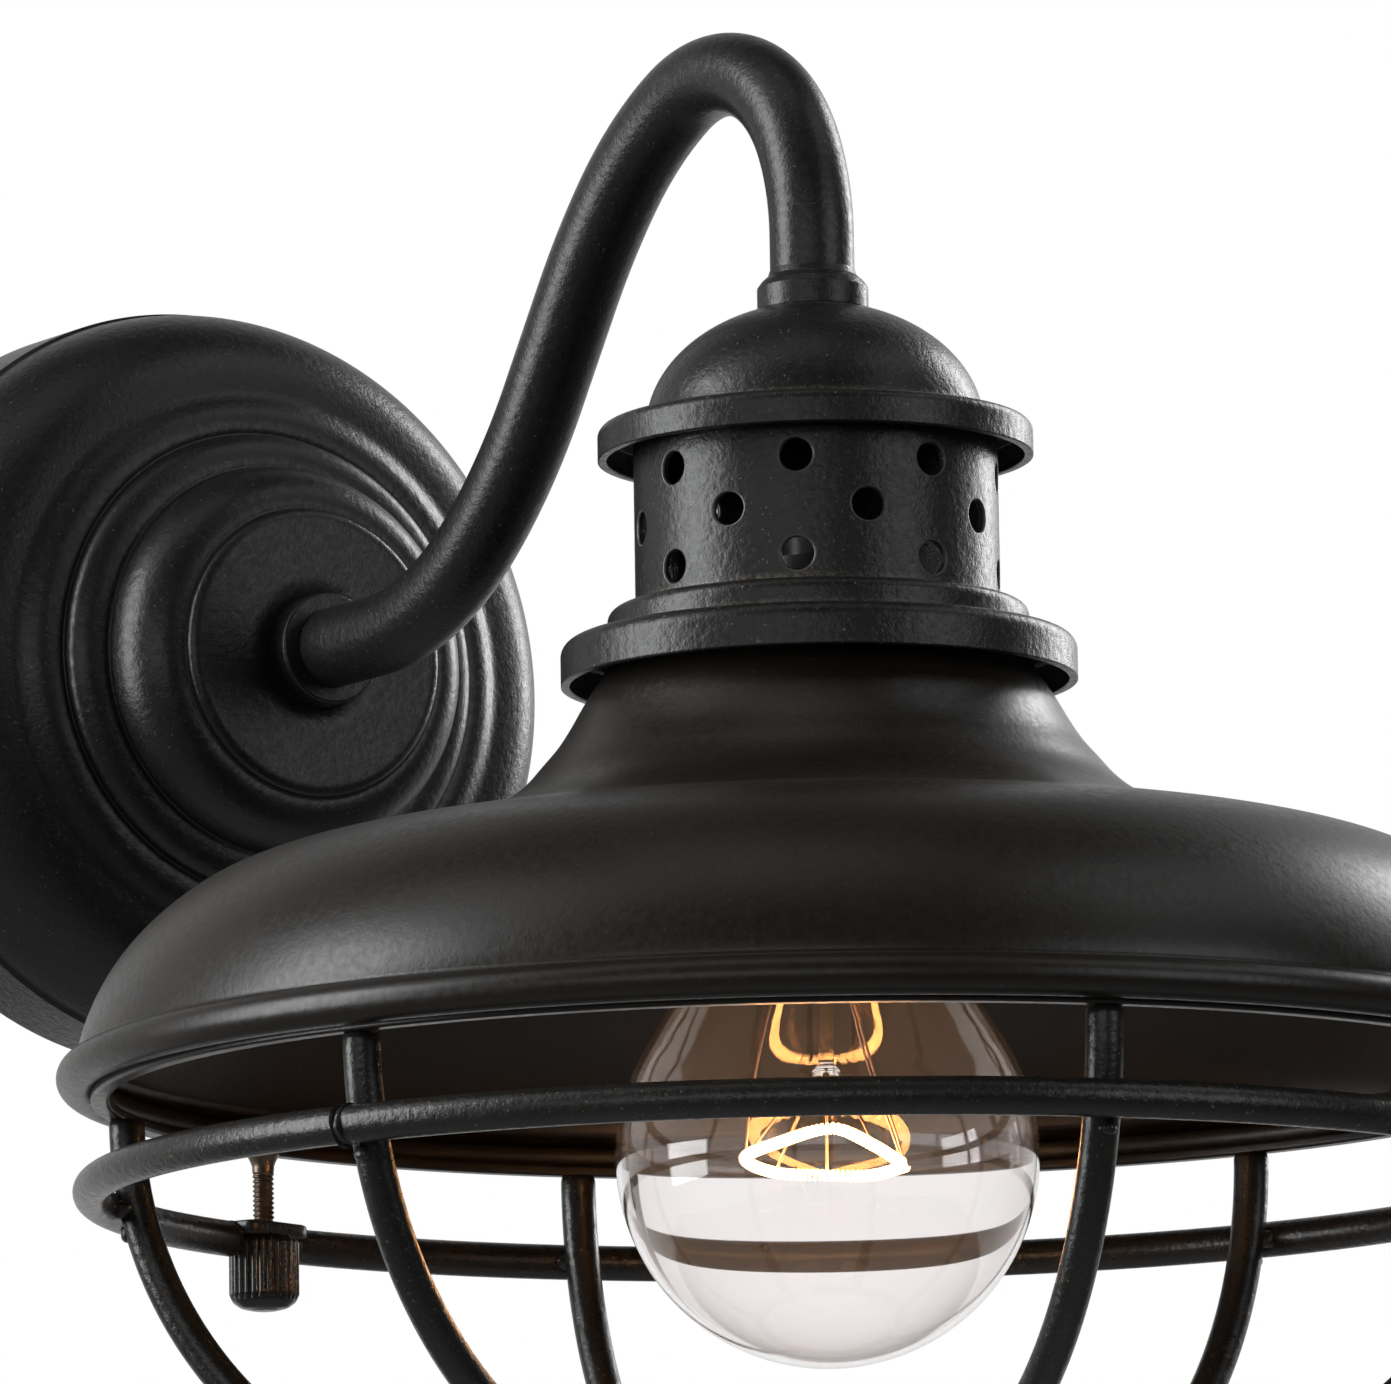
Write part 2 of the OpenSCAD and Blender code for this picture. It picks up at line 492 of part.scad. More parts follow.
// ---- bulb ----
neck_in = base_r - 0.3;            // glass neck inside the screw base
rise = (cap_z - bulb_z) / 47.55;   // neck and stem are drawn for a rise of 47.55 and fitted to the real one
function below_cap(h) = cap_z - rise * h;
glass_out = concat([for (s = [0:9:90]) [glass_r * sin(s), bulb_z - glass_r * cos(s)]],
    [for (q = [[29.2, 4.8], [27.5, 10.6], [24.9, 16.1], [21.7, 21.6], [18.6, 27.1], [16.3, 32.6], [14.6, 38.1], [13.5, 43.1]])
        [q[0] * glass_r / 29.75, bulb_z + rise * q[1]]],
    [[neck_in, cap_z + 0.1], [neck_in, cap_z + 6]]);
module bulb_glass() color("#dfe8ea", 0.35) shade_frame() rotate_extrude()
    polygon(concat(glass_out, [[neck_in - 0.8, cap_z + 6]],
        [for (i = [len(glass_out) - 2:-1:1]) miter(glass_out, i, 0.8)], [[0, bulb_z - glass_r + 0.8]]));
module bulb_cap() color("#c9c4b6") shade_frame() rotate_extrude()
    polygon([[neck_in, cap_z], [base_r, cap_z], [base_r, tip_z - 6.2], [9.8, tip_z - 3.9], [9.5, tip_z - 4.2],
        [neck_in, tip_z - 6.4]]);
module bulb_insulator() color("#26262a") shade_frame() rotate_extrude()
    polygon([[0, tip_z - 4.0], [9.7, tip_z - 4.0], [4.5, tip_z - 1.2], [0, tip_z - 1.2]]);
module bulb_contact() color("#b9b4a6") shade_frame() rotate_extrude()
    polygon([[0, tip_z - 1.2], [4.5, tip_z - 1.2], [3.2, tip_z], [0, tip_z]]);
module bulb_stem() color("#dfe8ea", 0.5) shade_frame() rotate_extrude()
    polygon([[0, below_cap(37.55)], [1.3, below_cap(37.35)], [1.5, below_cap(36.35)], [0.9, below_cap(35.55)],
        [0.9, below_cap(20.95)], [2.6, below_cap(19.35)], [3.0, below_cap(7.95)], [4.6, below_cap(0.95)],
        [neck_in - 1.4, cap_z + 4.2], [neck_in - 0.8, cap_z + 4.6], [neck_in - 0.8, cap_z + 5.4],
        [neck_in - 2.2, cap_z + 5.2], [3.4, below_cap(-0.55)], [2.0, below_cap(5.95)], [0, below_cap(6.95)]]);
fil_z = bulb_z + 0.6;
module bulb_supports() color("#8a8a88") shade_frame() {
    for (s = [-1, 1]) rod([s * 2.2, 0, below_cap(18.95)], [fil_r * cos(90 - s * 45), -fil_r * sin(90 - s * 45), fil_z], 0.35);
    for (a = [10, 90, 170]) rod([0.9 * cos(a), 0.9 * sin(a), below_cap(36.75)], [fil_r * cos(a), fil_r * sin(a), fil_z], 0.25);
}
module filament() color("#ffd9a0") shade_frame() rotate([0, 0, -45]) rotate_extrude(angle = 270)
    translate([fil_r, fil_z]) circle(r = 0.45);

wall_plate();
crossbar();
side_screws();
ground_screw();
arm_tube();
plate_ferrule();
plate_nipple();
plate_washer();
plate_nut();
arm_collar();
shade_nipple();
cap();
cap_nut();
vent_drum();
neck_skirt();
shade();
rim_band();
studs();
socket_cap();
socket_body();
socket_shell();
socket_contact();
socket_screws();
lead_line();
lead_neutral();
wire_connectors();
cage_ring_a();
cage_ring_b();
cage_lug_1();
cage_lug_2();
rib_1();
rib_2();
rib_3();
rib_4();
rib_5();
rib_6();
cage_hub();
thumb_nut_1();
thumb_nut_2();
bulb_glass();
bulb_cap();
bulb_insulator();
bulb_contact();
bulb_stem();
bulb_supports();
filament();
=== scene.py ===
"""Caged gooseneck wall light: the looks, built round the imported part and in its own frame. Pieces are
worked out in millimetres and put into the scene in metres."""
import math

import bmesh
import bpy
import numpy as np
from mathutils import Matrix


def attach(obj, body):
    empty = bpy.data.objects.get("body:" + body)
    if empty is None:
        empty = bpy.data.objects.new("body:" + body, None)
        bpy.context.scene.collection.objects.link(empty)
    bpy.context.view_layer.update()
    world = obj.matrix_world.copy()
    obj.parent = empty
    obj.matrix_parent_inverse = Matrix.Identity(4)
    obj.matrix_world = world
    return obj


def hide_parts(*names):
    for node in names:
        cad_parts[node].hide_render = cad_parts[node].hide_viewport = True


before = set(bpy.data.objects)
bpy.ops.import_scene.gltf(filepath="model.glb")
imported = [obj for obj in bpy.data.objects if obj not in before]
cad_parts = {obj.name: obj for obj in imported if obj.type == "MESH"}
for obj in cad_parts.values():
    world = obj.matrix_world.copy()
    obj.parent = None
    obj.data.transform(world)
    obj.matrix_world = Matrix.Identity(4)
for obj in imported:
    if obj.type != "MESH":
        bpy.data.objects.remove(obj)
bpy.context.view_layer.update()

# ---------------------------------------------------------------- camera and studio
# A long lens low on the left of the light, looking slightly up at the shade. Softboxes stand at both sides
# and behind, with weaker ones in front and above, and the white backdrop fades to grey on the camera's side.
yaw, pitch, tilt = math.radians(33.08), math.radians(8.88), math.radians(-0.91)
ahead = np.array([math.sin(yaw) * math.cos(pitch), math.cos(yaw) * math.cos(pitch), math.sin(pitch)])
level = np.array([math.cos(yaw), -math.sin(yaw), 0.0])
over = np.cross(level, ahead)
lens = bpy.data.cameras.new("long_lens")
lens.lens = 307.6
lens.sensor_width = 36.0
lens.sensor_fit = "HORIZONTAL"
lens.clip_end = 50.0
camera = bpy.data.objects.new("camera", lens)
bpy.context.collection.objects.link(camera)
placing = np.eye(4)
placing[:3, 0] = math.cos(tilt) * level + math.sin(tilt) * over
placing[:3, 1] = -math.sin(tilt) * level + math.cos(tilt) * over
placing[:3, 2] = -ahead
placing[:3, 3] = (-0.91884, -1.5645, -0.2837)
camera.matrix_world = Matrix(placing.tolist())
bpy.context.scene.camera = camera
bpy.context.scene.view_settings.view_transform = "Standard"

camera_bearing = -123.1
light_middle = np.array([0.0, -0.15, -0.05])


def softbox(name, turn, lift, distance, width, height, watts, tint=(1.0, 1.0, 1.0)):
    """An area lamp that faces the light's middle from `distance` metres off, `turn` degrees round from the
    camera's side and `lift` degrees up. Its axes are the way out to it, the level line across that, and the
    cross of the two."""
    bearing, rise = math.radians(camera_bearing + turn), math.radians(lift)
    way = np.array([math.cos(bearing) * math.cos(rise), math.sin(bearing) * math.cos(rise), math.sin(rise)])
    sideways = np.cross([0, 0, 1], way) / np.hypot(way[0], way[1])
    lamp = bpy.data.lights.new(name, "AREA")
    lamp.shape = "RECTANGLE"
    lamp.size = width
    lamp.size_y = height
    lamp.energy = watts
    lamp.color = tint
    holder = bpy.data.objects.new(name, lamp)
    bpy.context.collection.objects.link(holder)
    axes = np.eye(4)
    axes[:3, 0] = sideways
    axes[:3, 1] = np.cross(way, sideways)
    axes[:3, 2] = way
    axes[:3, 3] = light_middle + distance * way
    holder.matrix_world = Matrix(axes.tolist())


softbox("softbox_left", -82, 14, 1.6, 0.8, 1.5, 27.0, (0.97, 0.985, 1.0))
softbox("softbox_rim", 134, 22, 1.6, 0.45, 1.0, 15.0)
softbox("softbox_right", 54, 14, 2.2, 1.3, 1.1, 6.4, (0.98, 0.99, 1.0))
softbox("softbox_fill", -14, 8, 2.3, 2.0, 0.8, 5.0)
softbox("softbox_over", -20, 74, 1.5, 0.8, 0.8, 0.9)
softbox("softbox_high_left", -72, 50, 1.6, 0.9, 0.7, 1.6)
softbox("softbox_high_right", 72, 52, 1.6, 0.9, 0.7, 1.5)

room = bpy.data.worlds.new("studio")
bpy.context.scene.world = room
room.use_nodes = True
tree = room.node_tree
tree.nodes.clear()
out = tree.nodes.new("ShaderNodeOutputWorld")
backdrop = tree.nodes.new("ShaderNodeBackground")
backdrop.inputs["Color"].default_value = (1, 1, 1, 1)
backdrop.inputs["Strength"].default_value = 1.0
surround = tree.nodes.new("ShaderNodeBackground")
mixer = tree.nodes.new("ShaderNodeMixShader")
light_path = tree.nodes.new("ShaderNodeLightPath")
seen = tree.nodes.new("ShaderNodeMath")
seen.operation = "MAXIMUM"
tree.links.new(light_path.outputs["Is Camera Ray"], seen.inputs[0])
tree.links.new(light_path.outputs["Is Transmission Ray"], seen.inputs[1])
ray = tree.nodes.new("ShaderNodeTexCoord")
facing = tree.nodes.new("ShaderNodeVectorMath")
facing.operation = "DOT_PRODUCT"
facing.inputs[1].default_value = (math.sin(yaw), math.cos(yaw), -0.15)
fade = tree.nodes.new("ShaderNodeMapRange")
fade.inputs["From Min"].default_value = 0.3
fade.inputs["From Max"].default_value = 0.97
fade.inputs["To Min"].default_value = 0.05
fade.inputs["To Max"].default_value = 1.0
tree.links.new(ray.outputs["Generated"], facing.inputs[0])
tree.links.new(facing.outputs["Value"], fade.inputs["Value"])
tree.links.new(fade.outputs["Result"], surround.inputs["Strength"])
tree.links.new(seen.outputs[0], mixer.inputs["Fac"])
tree.links.new(surround.outputs[0], mixer.inputs[1])
tree.links.new(backdrop.outputs[0], mixer.inputs[2])
tree.links.new(mixer.outputs[0], out.inputs["Surface"])

bpy.ops.mesh.primitive_plane_add(size=12.0, location=(0, -0.2, -3.0))
floor = bpy.context.object
floor.name = "studio_floor"
pale = bpy.data.materials.new("pale_floor")
pale.use_nodes = True
shader = pale.node_tree.nodes["Principled BSDF"]
shader.inputs["Base Color"].default_value = (0.82, 0.82, 0.82, 1)
shader.inputs["Roughness"].default_value = 0.9
floor.data.materials.append(pale)

# ---------------------------------------------------------------- gooseneck arm
# A 12 mm steel tube with a 1.2 mm wall, drawn straight out of the wall plate, swept up, over a
# tight crook and down into the shade, then powder coated satin black with the rest.


def new_finish(name):
    """A new material, with its node tree and the shader in it."""
    material = bpy.data.materials.new(name)
    material.use_nodes = True
    return material, material.node_tree, material.node_tree.nodes["Principled BSDF"]


def noise(tree, scale, detail=2, roughness=0.5):
    """A noise between 0 and 1, read at the piece's own coordinates."""
    place = tree.nodes.new("ShaderNodeTexCoord")
    cloud = tree.nodes.new("ShaderNodeTexNoise")
    cloud.inputs["Scale"].default_value = scale
    cloud.inputs["Detail"].default_value = detail
    cloud.inputs["Roughness"].default_value = roughness
    tree.links.new(place.outputs["Object"], cloud.inputs["Vector"])
    return cloud.outputs["Fac"]


def height_of(tree):
    """The height of the shaded point in the part's frame, in metres."""
    place = tree.nodes.new("ShaderNodeTexCoord")
    split = tree.nodes.new("ShaderNodeSeparateXYZ")
    tree.links.new(place.outputs["Object"], split.inputs[0])
    return split.outputs["Z"]


def span(tree, source, low, high, start=0.0, stop=1.0):
    """A value taken in a straight line from start..stop to low..high, and held beyond both ends."""
    ramp = tree.nodes.new("ShaderNodeMapRange")
    ramp.inputs["From Min"].default_value = start
    ramp.inputs["From Max"].default_value = stop
    ramp.inputs["To Min"].default_value = low
    ramp.inputs["To Max"].default_value = high
    tree.links.new(source, ramp.inputs["Value"])
    return ramp.outputs["Result"]


def reckon(tree, kind, first, second):
    """One sum of two values, each a number or a node's output."""
    node = tree.nodes.new("ShaderNodeMath")
    node.operation = kind
    for socket, value in zip(node.inputs, (first, second)):
        if isinstance(value, (int, float)):
            socket.default_value = value
        else:
            tree.links.new(value, socket)
    return node.outputs[0]


def blend(tree, factor, first, second):
    """A colour between two, each a colour or a node's output."""
    node = tree.nodes.new("ShaderNodeMix")
    node.data_type = "RGBA"
    tree.links.new(factor, node.inputs["Factor"])
    for socket, value in ((node.inputs[6], first), (node.inputs[7], second)):
        if isinstance(value, tuple):
            socket.default_value = (*value, 1)
        else:
            tree.links.new(value, socket)
    return node.outputs[2]


def ripple(tree, source, strength, distance, beneath=None):
    """A bump of `distance` metres that follows a value, laid over another bump where one is given."""
    node = tree.nodes.new("ShaderNodeBump")
    node.inputs["Strength"].default_value = strength
    node.inputs["Distance"].default_value = distance
    tree.links.new(source, node.inputs["Height"])
    if beneath is not None:
        tree.links.new(beneath, node.inputs["Normal"])
    return node.outputs[0]


def powder_coat(name, base, rough, peel, grain=0.00003, glint_fleck=0.0, creases=()):
    """Baked black powder: near-black colour with faint mottling, a satin gloss that varies a little, orange
    peel about a millimetre wide, a finer grain, and pale warm specks, painted glints of sparkle whose share
    is glint_fleck. creases lists heights in metres where two pieces meet, and a broken line of paler dust
    lies along each. Everything is in object space."""
    material, tree, bsdf = new_finish(name)
    cloud, orange, fine_grain = noise(tree, 60, 3, 0.6), noise(tree, 900, 2, 0.55), noise(tree, 2600, 2, 0.6)
    dark, pale = tuple(c * 0.85 for c in base), tuple(c * 1.25 for c in base)
    color = blend(tree, span(tree, cloud, 0, 1, 0.3, 0.7), dark, pale)
    if glint_fleck:
        # pale warm specks mixed into the colour: painted glints of sparkle
        glint_specks = noise(tree, 1900, 1)
        color = blend(tree, span(tree, glint_specks, 0, glint_fleck, 0.70, 0.78), color, (0.20, 0.17, 0.13))
    if creases:
        height = height_of(tree)
        dust = None
        for crease in creases:
            off = reckon(tree, "ABSOLUTE", reckon(tree, "SUBTRACT", height, crease), 0)
            near = span(tree, off, 1, 0, 0.0, 0.0009)
            dust = near if dust is None else reckon(tree, "MAXIMUM", dust, near)
        broken = span(tree, noise(tree, 1300, 3, 0.7), 0, 1, 0.42, 0.62)
        color = blend(tree, reckon(tree, "MULTIPLY", dust, broken), color, (0.14, 0.118, 0.09))
    tree.links.new(color, bsdf.inputs["Base Color"])
    tree.links.new(span(tree, orange, rough - 0.05, rough + 0.05, 0.3, 0.7), bsdf.inputs["Roughness"])
    fine = ripple(tree, fine_grain, 0.35 * peel, grain)
    tree.links.new(ripple(tree, orange, 0.5 * peel, 2 * grain, fine), bsdf.inputs["Normal"])
    return material


coarse_black = powder_coat("coarse_black_coat", (0.0100, 0.0094, 0.0088), 0.36, 1.8, 0.00005, 0.5)


def add_piece(name, points, faces, material, body, slot, *nodes, poles=False):
    """Puts points (N x 3, millimetres) and faces (rows of four or three indices) into a smooth mesh whose
    faces point outwards, merges the points that meet at a pole where asked, and hands it to the frame."""
    pts = np.asarray(points, float) / 1000.0
    quads = np.asarray([f for f in faces if len(f) == 4], int).reshape(-1, 4)
    tris = np.asarray([f for f in faces if len(f) == 3], int).reshape(-1, 3)
    every = np.vstack([quads[:, [0, 1, 2]], quads[:, [0, 2, 3]], tris])
    volume = np.einsum("ij,ij->i", pts[every[:, 0]], np.cross(pts[every[:, 1]], pts[every[:, 2]])).sum()
    if volume < 0:
        quads, tris = quads[:, ::-1], tris[:, ::-1]
    mesh = bpy.data.meshes.new(name)
    mesh.from_pydata(pts.tolist(), [], quads.tolist() + tris.tolist())
    if poles:
        work = bmesh.new()
        work.from_mesh(mesh)
        bmesh.ops.remove_doubles(work, verts=work.verts, dist=1e-7)
        work.to_mesh(mesh)
        work.free()
    mesh.shade_smooth()
    piece = bpy.data.objects.new(name, mesh)
    bpy.context.collection.objects.link(piece)
    mesh.materials.append(material)
    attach(piece, body)
    if nodes:
        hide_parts(*nodes)
    return piece


def grid_faces(rows, cols, wrap_rows, wrap_cols, start=0):
    """Quads of a rows x cols grid of points, numbered row by row from `start`, and closed round in either
    direction where asked."""
    r = np.arange(rows if wrap_rows else rows - 1)
    c = np.arange(cols if wrap_cols else cols - 1)
    r0, c0 = np.meshgrid(r, c, indexing="ij")
    r1, c1 = (r0 + 1) % rows, (c0 + 1) % cols
    quad = np.stack([r0 * cols + c0, r0 * cols + c1, r1 * cols + c1, r1 * cols + c0], -1).reshape(-1, 4)
    return (quad + start).tolist()


def arc_path(start, heading, steps, spacing=0.8):
    """A plane path of straight runs ("run", length) and bends ("bend", radius, degrees; up is positive),
    as points and headings: a bend turns about the centre that lies its radius to the side of the path."""
    place, way = np.array(start, float), math.radians(heading)
    points, ways = [place], [way]
    for step in steps:
        if step[0] == "run":
            n = max(2, int(abs(step[1]) / 2.0))
            new_ways = np.full(n, way)
            new = place + np.linspace(0, step[1], n + 1)[1:, None] * np.array([math.cos(way), math.sin(way)])
        else:
            turn = math.radians(step[2])
            signed = step[1] * np.sign(turn)
            n = max(4, int(step[1] * abs(turn) / spacing))
            new_ways = way + turn * np.linspace(0, 1, n + 1)[1:]
            swing = np.stack([np.sin(new_ways) - math.sin(way), math.cos(way) - np.cos(new_ways)], -1)
            new = place + signed * swing
        points += list(new)
        ways += list(new_ways)
        place, way = new[-1], new_ways[-1]
    return np.array(points), np.array(ways)


def pipe_rings(centre, normal, binormal, radius, steps):
    """A tube's surface: centre(s) + radius (normal(s) cos a + binormal(s) sin a), for a round the section."""
    a = np.linspace(0, 2 * np.pi, steps, endpoint=False)
    r = np.broadcast_to(np.asarray(radius, float), (len(centre),))
    return centre[:, None, :] + r[:, None, None] * (
        np.cos(a)[None, :, None] * normal[:, None, :] + np.sin(a)[None, :, None] * binormal[:, None, :])


# The shade's axis stands `reach` off the wall, and its rim plane lies `drop` below the plate's centre.
reach, drop = 186.0, 81.5
tube_r, tube_bore_r, tube_steps = 6.0, 4.8, 72
tube_start, first_bend, tube_end = 50.2, 65.8, 111.4
climbing = [("bend", 50, 36), ("bend", 85, 18)]
crook = [("bend", 100, -10), ("bend", 55, -21), ("bend", 24, -90), ("bend", 33, -23)]
climb = math.radians(sum(degrees for _, _, degrees in climbing))
tried, _ = arc_path((first_bend, 0), 0, climbing + crook)
bends = climbing + [("run", (reach - tried[-1, 0]) / math.cos(climb))] + crook
bent, _ = arc_path((first_bend, 0), 0, bends)
last_run = bent[-1, 1] - (tube_end - drop)
path, heads = arc_path((tube_start, 0), 0, [("run", first_bend - tube_start)] + bends + [("run", last_run)])
arm_line = np.stack([np.zeros(len(path)), -path[:, 0], path[:, 1]], -1)
arm_side = np.stack([np.zeros(len(path)), np.sin(heads), np.cos(heads)], -1)
across = np.tile([1.0, 0, 0], (len(path), 1))
skin = pipe_rings(arm_line, arm_side, across, tube_r, tube_steps)
bore = pipe_rings(arm_line, arm_side, across, tube_bore_r, tube_steps)[::-1]
rings = np.concatenate([skin, bore])
add_piece("gooseneck_tube", rings.reshape(-1, 3), grid_faces(len(rings), tube_steps, True, True), coarse_black,
          "fixture", "black_coat", "arm_tube")

# ---------------------------------------------------------------- wall plate
# A deep stamped steel dish, 115 mm across: a straight wall, a big rounded shoulder, then three rolled
# steps up to a flat disc. It is pressed over a form, so every step is a soft roll with a thin crease.


def soften(outline, radii, closed=False, arc=6, lead=0.25):
    """Rounds the corners of an outline: each is cut back by radius / tan(half its angle) and joined by an arc
    of that radius; straight parts keep a point `lead` mm from each end so that the shading stays flat."""
    points = np.asarray(outline, float)
    count = len(points)
    radii = np.broadcast_to(np.asarray(radii, float), (count,))
    made = []
    for i, (corner, radius) in enumerate(zip(points, radii)):
        if not closed and i in (0, count - 1):
            made.append(corner)
            continue
        back, onward = points[i - 1] - corner, points[(i + 1) % count] - corner
        room_back, room_ahead = np.linalg.norm(back), np.linalg.norm(onward)
        back, onward = back / room_back, onward / room_ahead
        half = 0.5 * math.acos(float(np.clip(back @ onward, -1, 1)))
        cut = radius / math.tan(half) if radius > 0 and half < math.pi / 2 - 1e-4 else 0.0
        cut = min(cut, 0.49 * room_back, 0.49 * room_ahead)
        if cut < 1e-6:
            made.append(corner)
            continue
        radius = cut * math.tan(half)
        centre = corner + (back + onward) / np.linalg.norm(back + onward) * (radius / math.sin(half))
        first, last = corner + back * cut - centre, corner + onward * cut - centre
        start = math.atan2(first[1], first[0])
        turn = (math.atan2(last[1], last[0]) - start + math.pi) % (2 * math.pi) - math.pi
        a = start + turn * np.linspace(0, 1, arc + 1)
        made += list(centre + radius * np.stack([np.cos(a), np.sin(a)], -1))
    dense = []
    for i in range(len(made) if closed else len(made) - 1):
        here, there = made[i], made[(i + 1) % len(made)]
        gap = np.linalg.norm(there - here)
        dense.append(here)
        if gap > 3 * lead:
            dense += [here + (there - here) * lead / gap, there - (there - here) * lead / gap]
    if not closed:
        dense.append(made[-1])
    return np.array(dense)


def wall_of(profile, thickness):
    """The same outline moved inwards by the sheet's thickness along its left normals, mitred at each point."""
    line = np.asarray(profile, float)
    way = np.diff(line, axis=0)
    way /= np.linalg.norm(way, axis=1)[:, None]
    left = np.stack([-way[:, 1], way[:, 0]], -1)
    before = np.vstack([left[:1], left])
    after = np.vstack([left, left[-1:]])
    return line + thickness * (before + after) / (1 + (before * after).sum(1))[:, None]


def turned_points(outline, steps, axis):
    """A turned shape: (r cos a, r sin a, h) for each outline point (r, h) and angle a, then set on its axis.
    "up" is the shade's axis, with h above the rim plane; "wall" is the plate's, with h off the wall."""
    a = np.linspace(0, 2 * np.pi, steps, endpoint=False)
    r, h = outline[:, 0][:, None], outline[:, 1][:, None]
    x, y, z = r * np.cos(a), r * np.sin(a), h + 0 * a
    if axis == "up":
        return np.stack([x, y - reach, z - drop], -1).reshape(-1, 3)
    return np.stack([x, -z, y], -1).reshape(-1, 3)


def turned(name, outline, axis, material, body, slot, *nodes, steps=256, poles=False):
    """A turned solid from a closed outline of (radius, height) points in millimetres."""
    pts = turned_points(np.asarray(outline, float), steps, axis)
    faces = grid_faces(len(outline), steps, True, True)
    return add_piece(name, pts, faces, material, body, slot, *nodes, poles=poles)


# The plate, cap, skirt and shade are all made of this sheet.
sheet = 1.2


def pressed(name, profile, axis, material, body, slot, *nodes, steps=256):
    """A turned sheet part: the outer profile, its inner copy one sheet inside, and straight edges between."""
    inner = wall_of(profile, sheet)[::-1]
    foot = np.linspace(profile[-1], inner[0], 5)[1:-1]
    head = np.linspace(inner[-1], profile[0], 5)[1:-1]
    outline = np.vstack([profile, foot, inner, head])
    return turned(name, outline, axis, material, body, slot, *nodes, steps=steps)


def arc_points(centre, half_width, half_height, start, stop, n):
    """Part of an ellipse: its centre plus (half width * cos a, half height * sin a), at n angles in degrees
    from start to stop."""
    a = np.radians(np.linspace(start, stop, n))
    return np.stack([centre[0] + half_width * np.cos(a), centre[1] + half_height * np.sin(a)], -1)


def roll(steep, flat, n):
    """A quarter of an ellipse from its steep end to its flat end, in n steps, without the first point."""
    return arc_points((flat[0], steep[1]), steep[0] - flat[0], flat[1] - steep[1], 0, 90, n + 1)[1:]


shoulder = arc_points((43, 14.8), 14, 17, 0, 75, 26)
dip = np.array([[44.7, 31.9], [43.2, 32.1], [42.0, 32.5], [41.0, 33.2], [40.1, 33.9], [39.1, 34.4],
                [37.9, 34.7], [36.7, 34.8], [35.85, 34.7]])
plate_line = np.vstack([
    soften([[57.5, 0], [57.5, 14.5], [57.0, 14.8], [57.0, 15.1]], [0, 0.2, 0.1, 0], arc=3),
    shoulder[1:], dip,
    soften([[35.6, 34.55], [35.42, 34.9], [35.4, 35.4]], [0, 0.3, 0], arc=3),
    roll([35.35, 35.6], [30.3, 38.55], 12),
    soften([[29.95, 38.45], [29.78, 38.75], [29.75, 39.2]], [0, 0.3, 0], arc=3),
    roll([29.7, 39.4], [22.6, 47.95], 18),
    soften([[22.2, 47.85], [22.02, 48.05], [22.0, 48.3]], [0, 0.2, 0], arc=3),
    roll([21.95, 48.45], [20.2, 49.6], 8),
    np.array([[19.6, 49.6], [12, 49.6], [5.0, 49.6]])])
pressed("plate_shell", plate_line, "wall", coarse_black, "fixture", "black_coat", "wall_plate", steps=360)

# The arm's ferrule: a short turned ring silver-soldered round the tube where it leaves the plate.
ferrule_line = soften([[5.9, 49.5], [8.5, 49.5], [8.5, 54.0], [5.9, 54.0]], [0.05, 0.1, 0.55, 0.1], closed=True)
turned("plate_ring", ferrule_line, "wall", coarse_black, "fixture", "black_coat", "plate_ferrule", steps=128)

# ---------------------------------------------------------------- collar, cap and vent drum
# Above the shade: a turned collar welded to the arm, a spun cap with a rolled-down flange, and a drum
# punched with three staggered rows of round vent holes. Dust shows in the creases between them.
crease_heights = (95.3, 111.0, 68.7, 64.3)
dusty_black = powder_coat("dusty_black_coat", (0.0100, 0.0094, 0.0088), 0.36, 1.9, 0.00006, 0.8,
                          [(height - drop) / 1000 for height in crease_heights])
collar_line = soften([[5.9, 110.8], [7.9, 110.8], [7.9, 114.2], [7.25, 115.1], [6.35, 115.9], [6.0, 116.9],
                      [5.9, 116.9]], [0.05, 0.3, 0.45, 0.3, 0.5, 0.05, 0.05], closed=True)
turned("arm_collar_ring", collar_line, "up", coarse_black, "fixture", "black_coat", "arm_collar", steps=128)

dome = arc_points((0, 94.0), 24.0, 17.9, 4, 71, 30)
cap_line = np.vstack([
    soften([[30.84, 89.7], [30.84, 94.45], [25.4, 94.75], [24.15, 95.3], [dome[0][0], dome[0][1] + 0.6]],
           [0, 1.5, 1.0, 0.5, 0], arc=8),
    dome[2:], np.array([[7.4, 111.0], [5.0, 111.0]])])
pressed("cap_shell", cap_line, "up", dusty_black, "fixture", "black_coat", "cap")

drum_r, hole_r, hole_rows, row_gap = 25.8, 2.33, (86.0, 79.0, 72.0), 7.0
plain_bands = ((66.95, 68.5), (89.5, 93.7))
cells, first_cell = 16, math.radians(5.2)


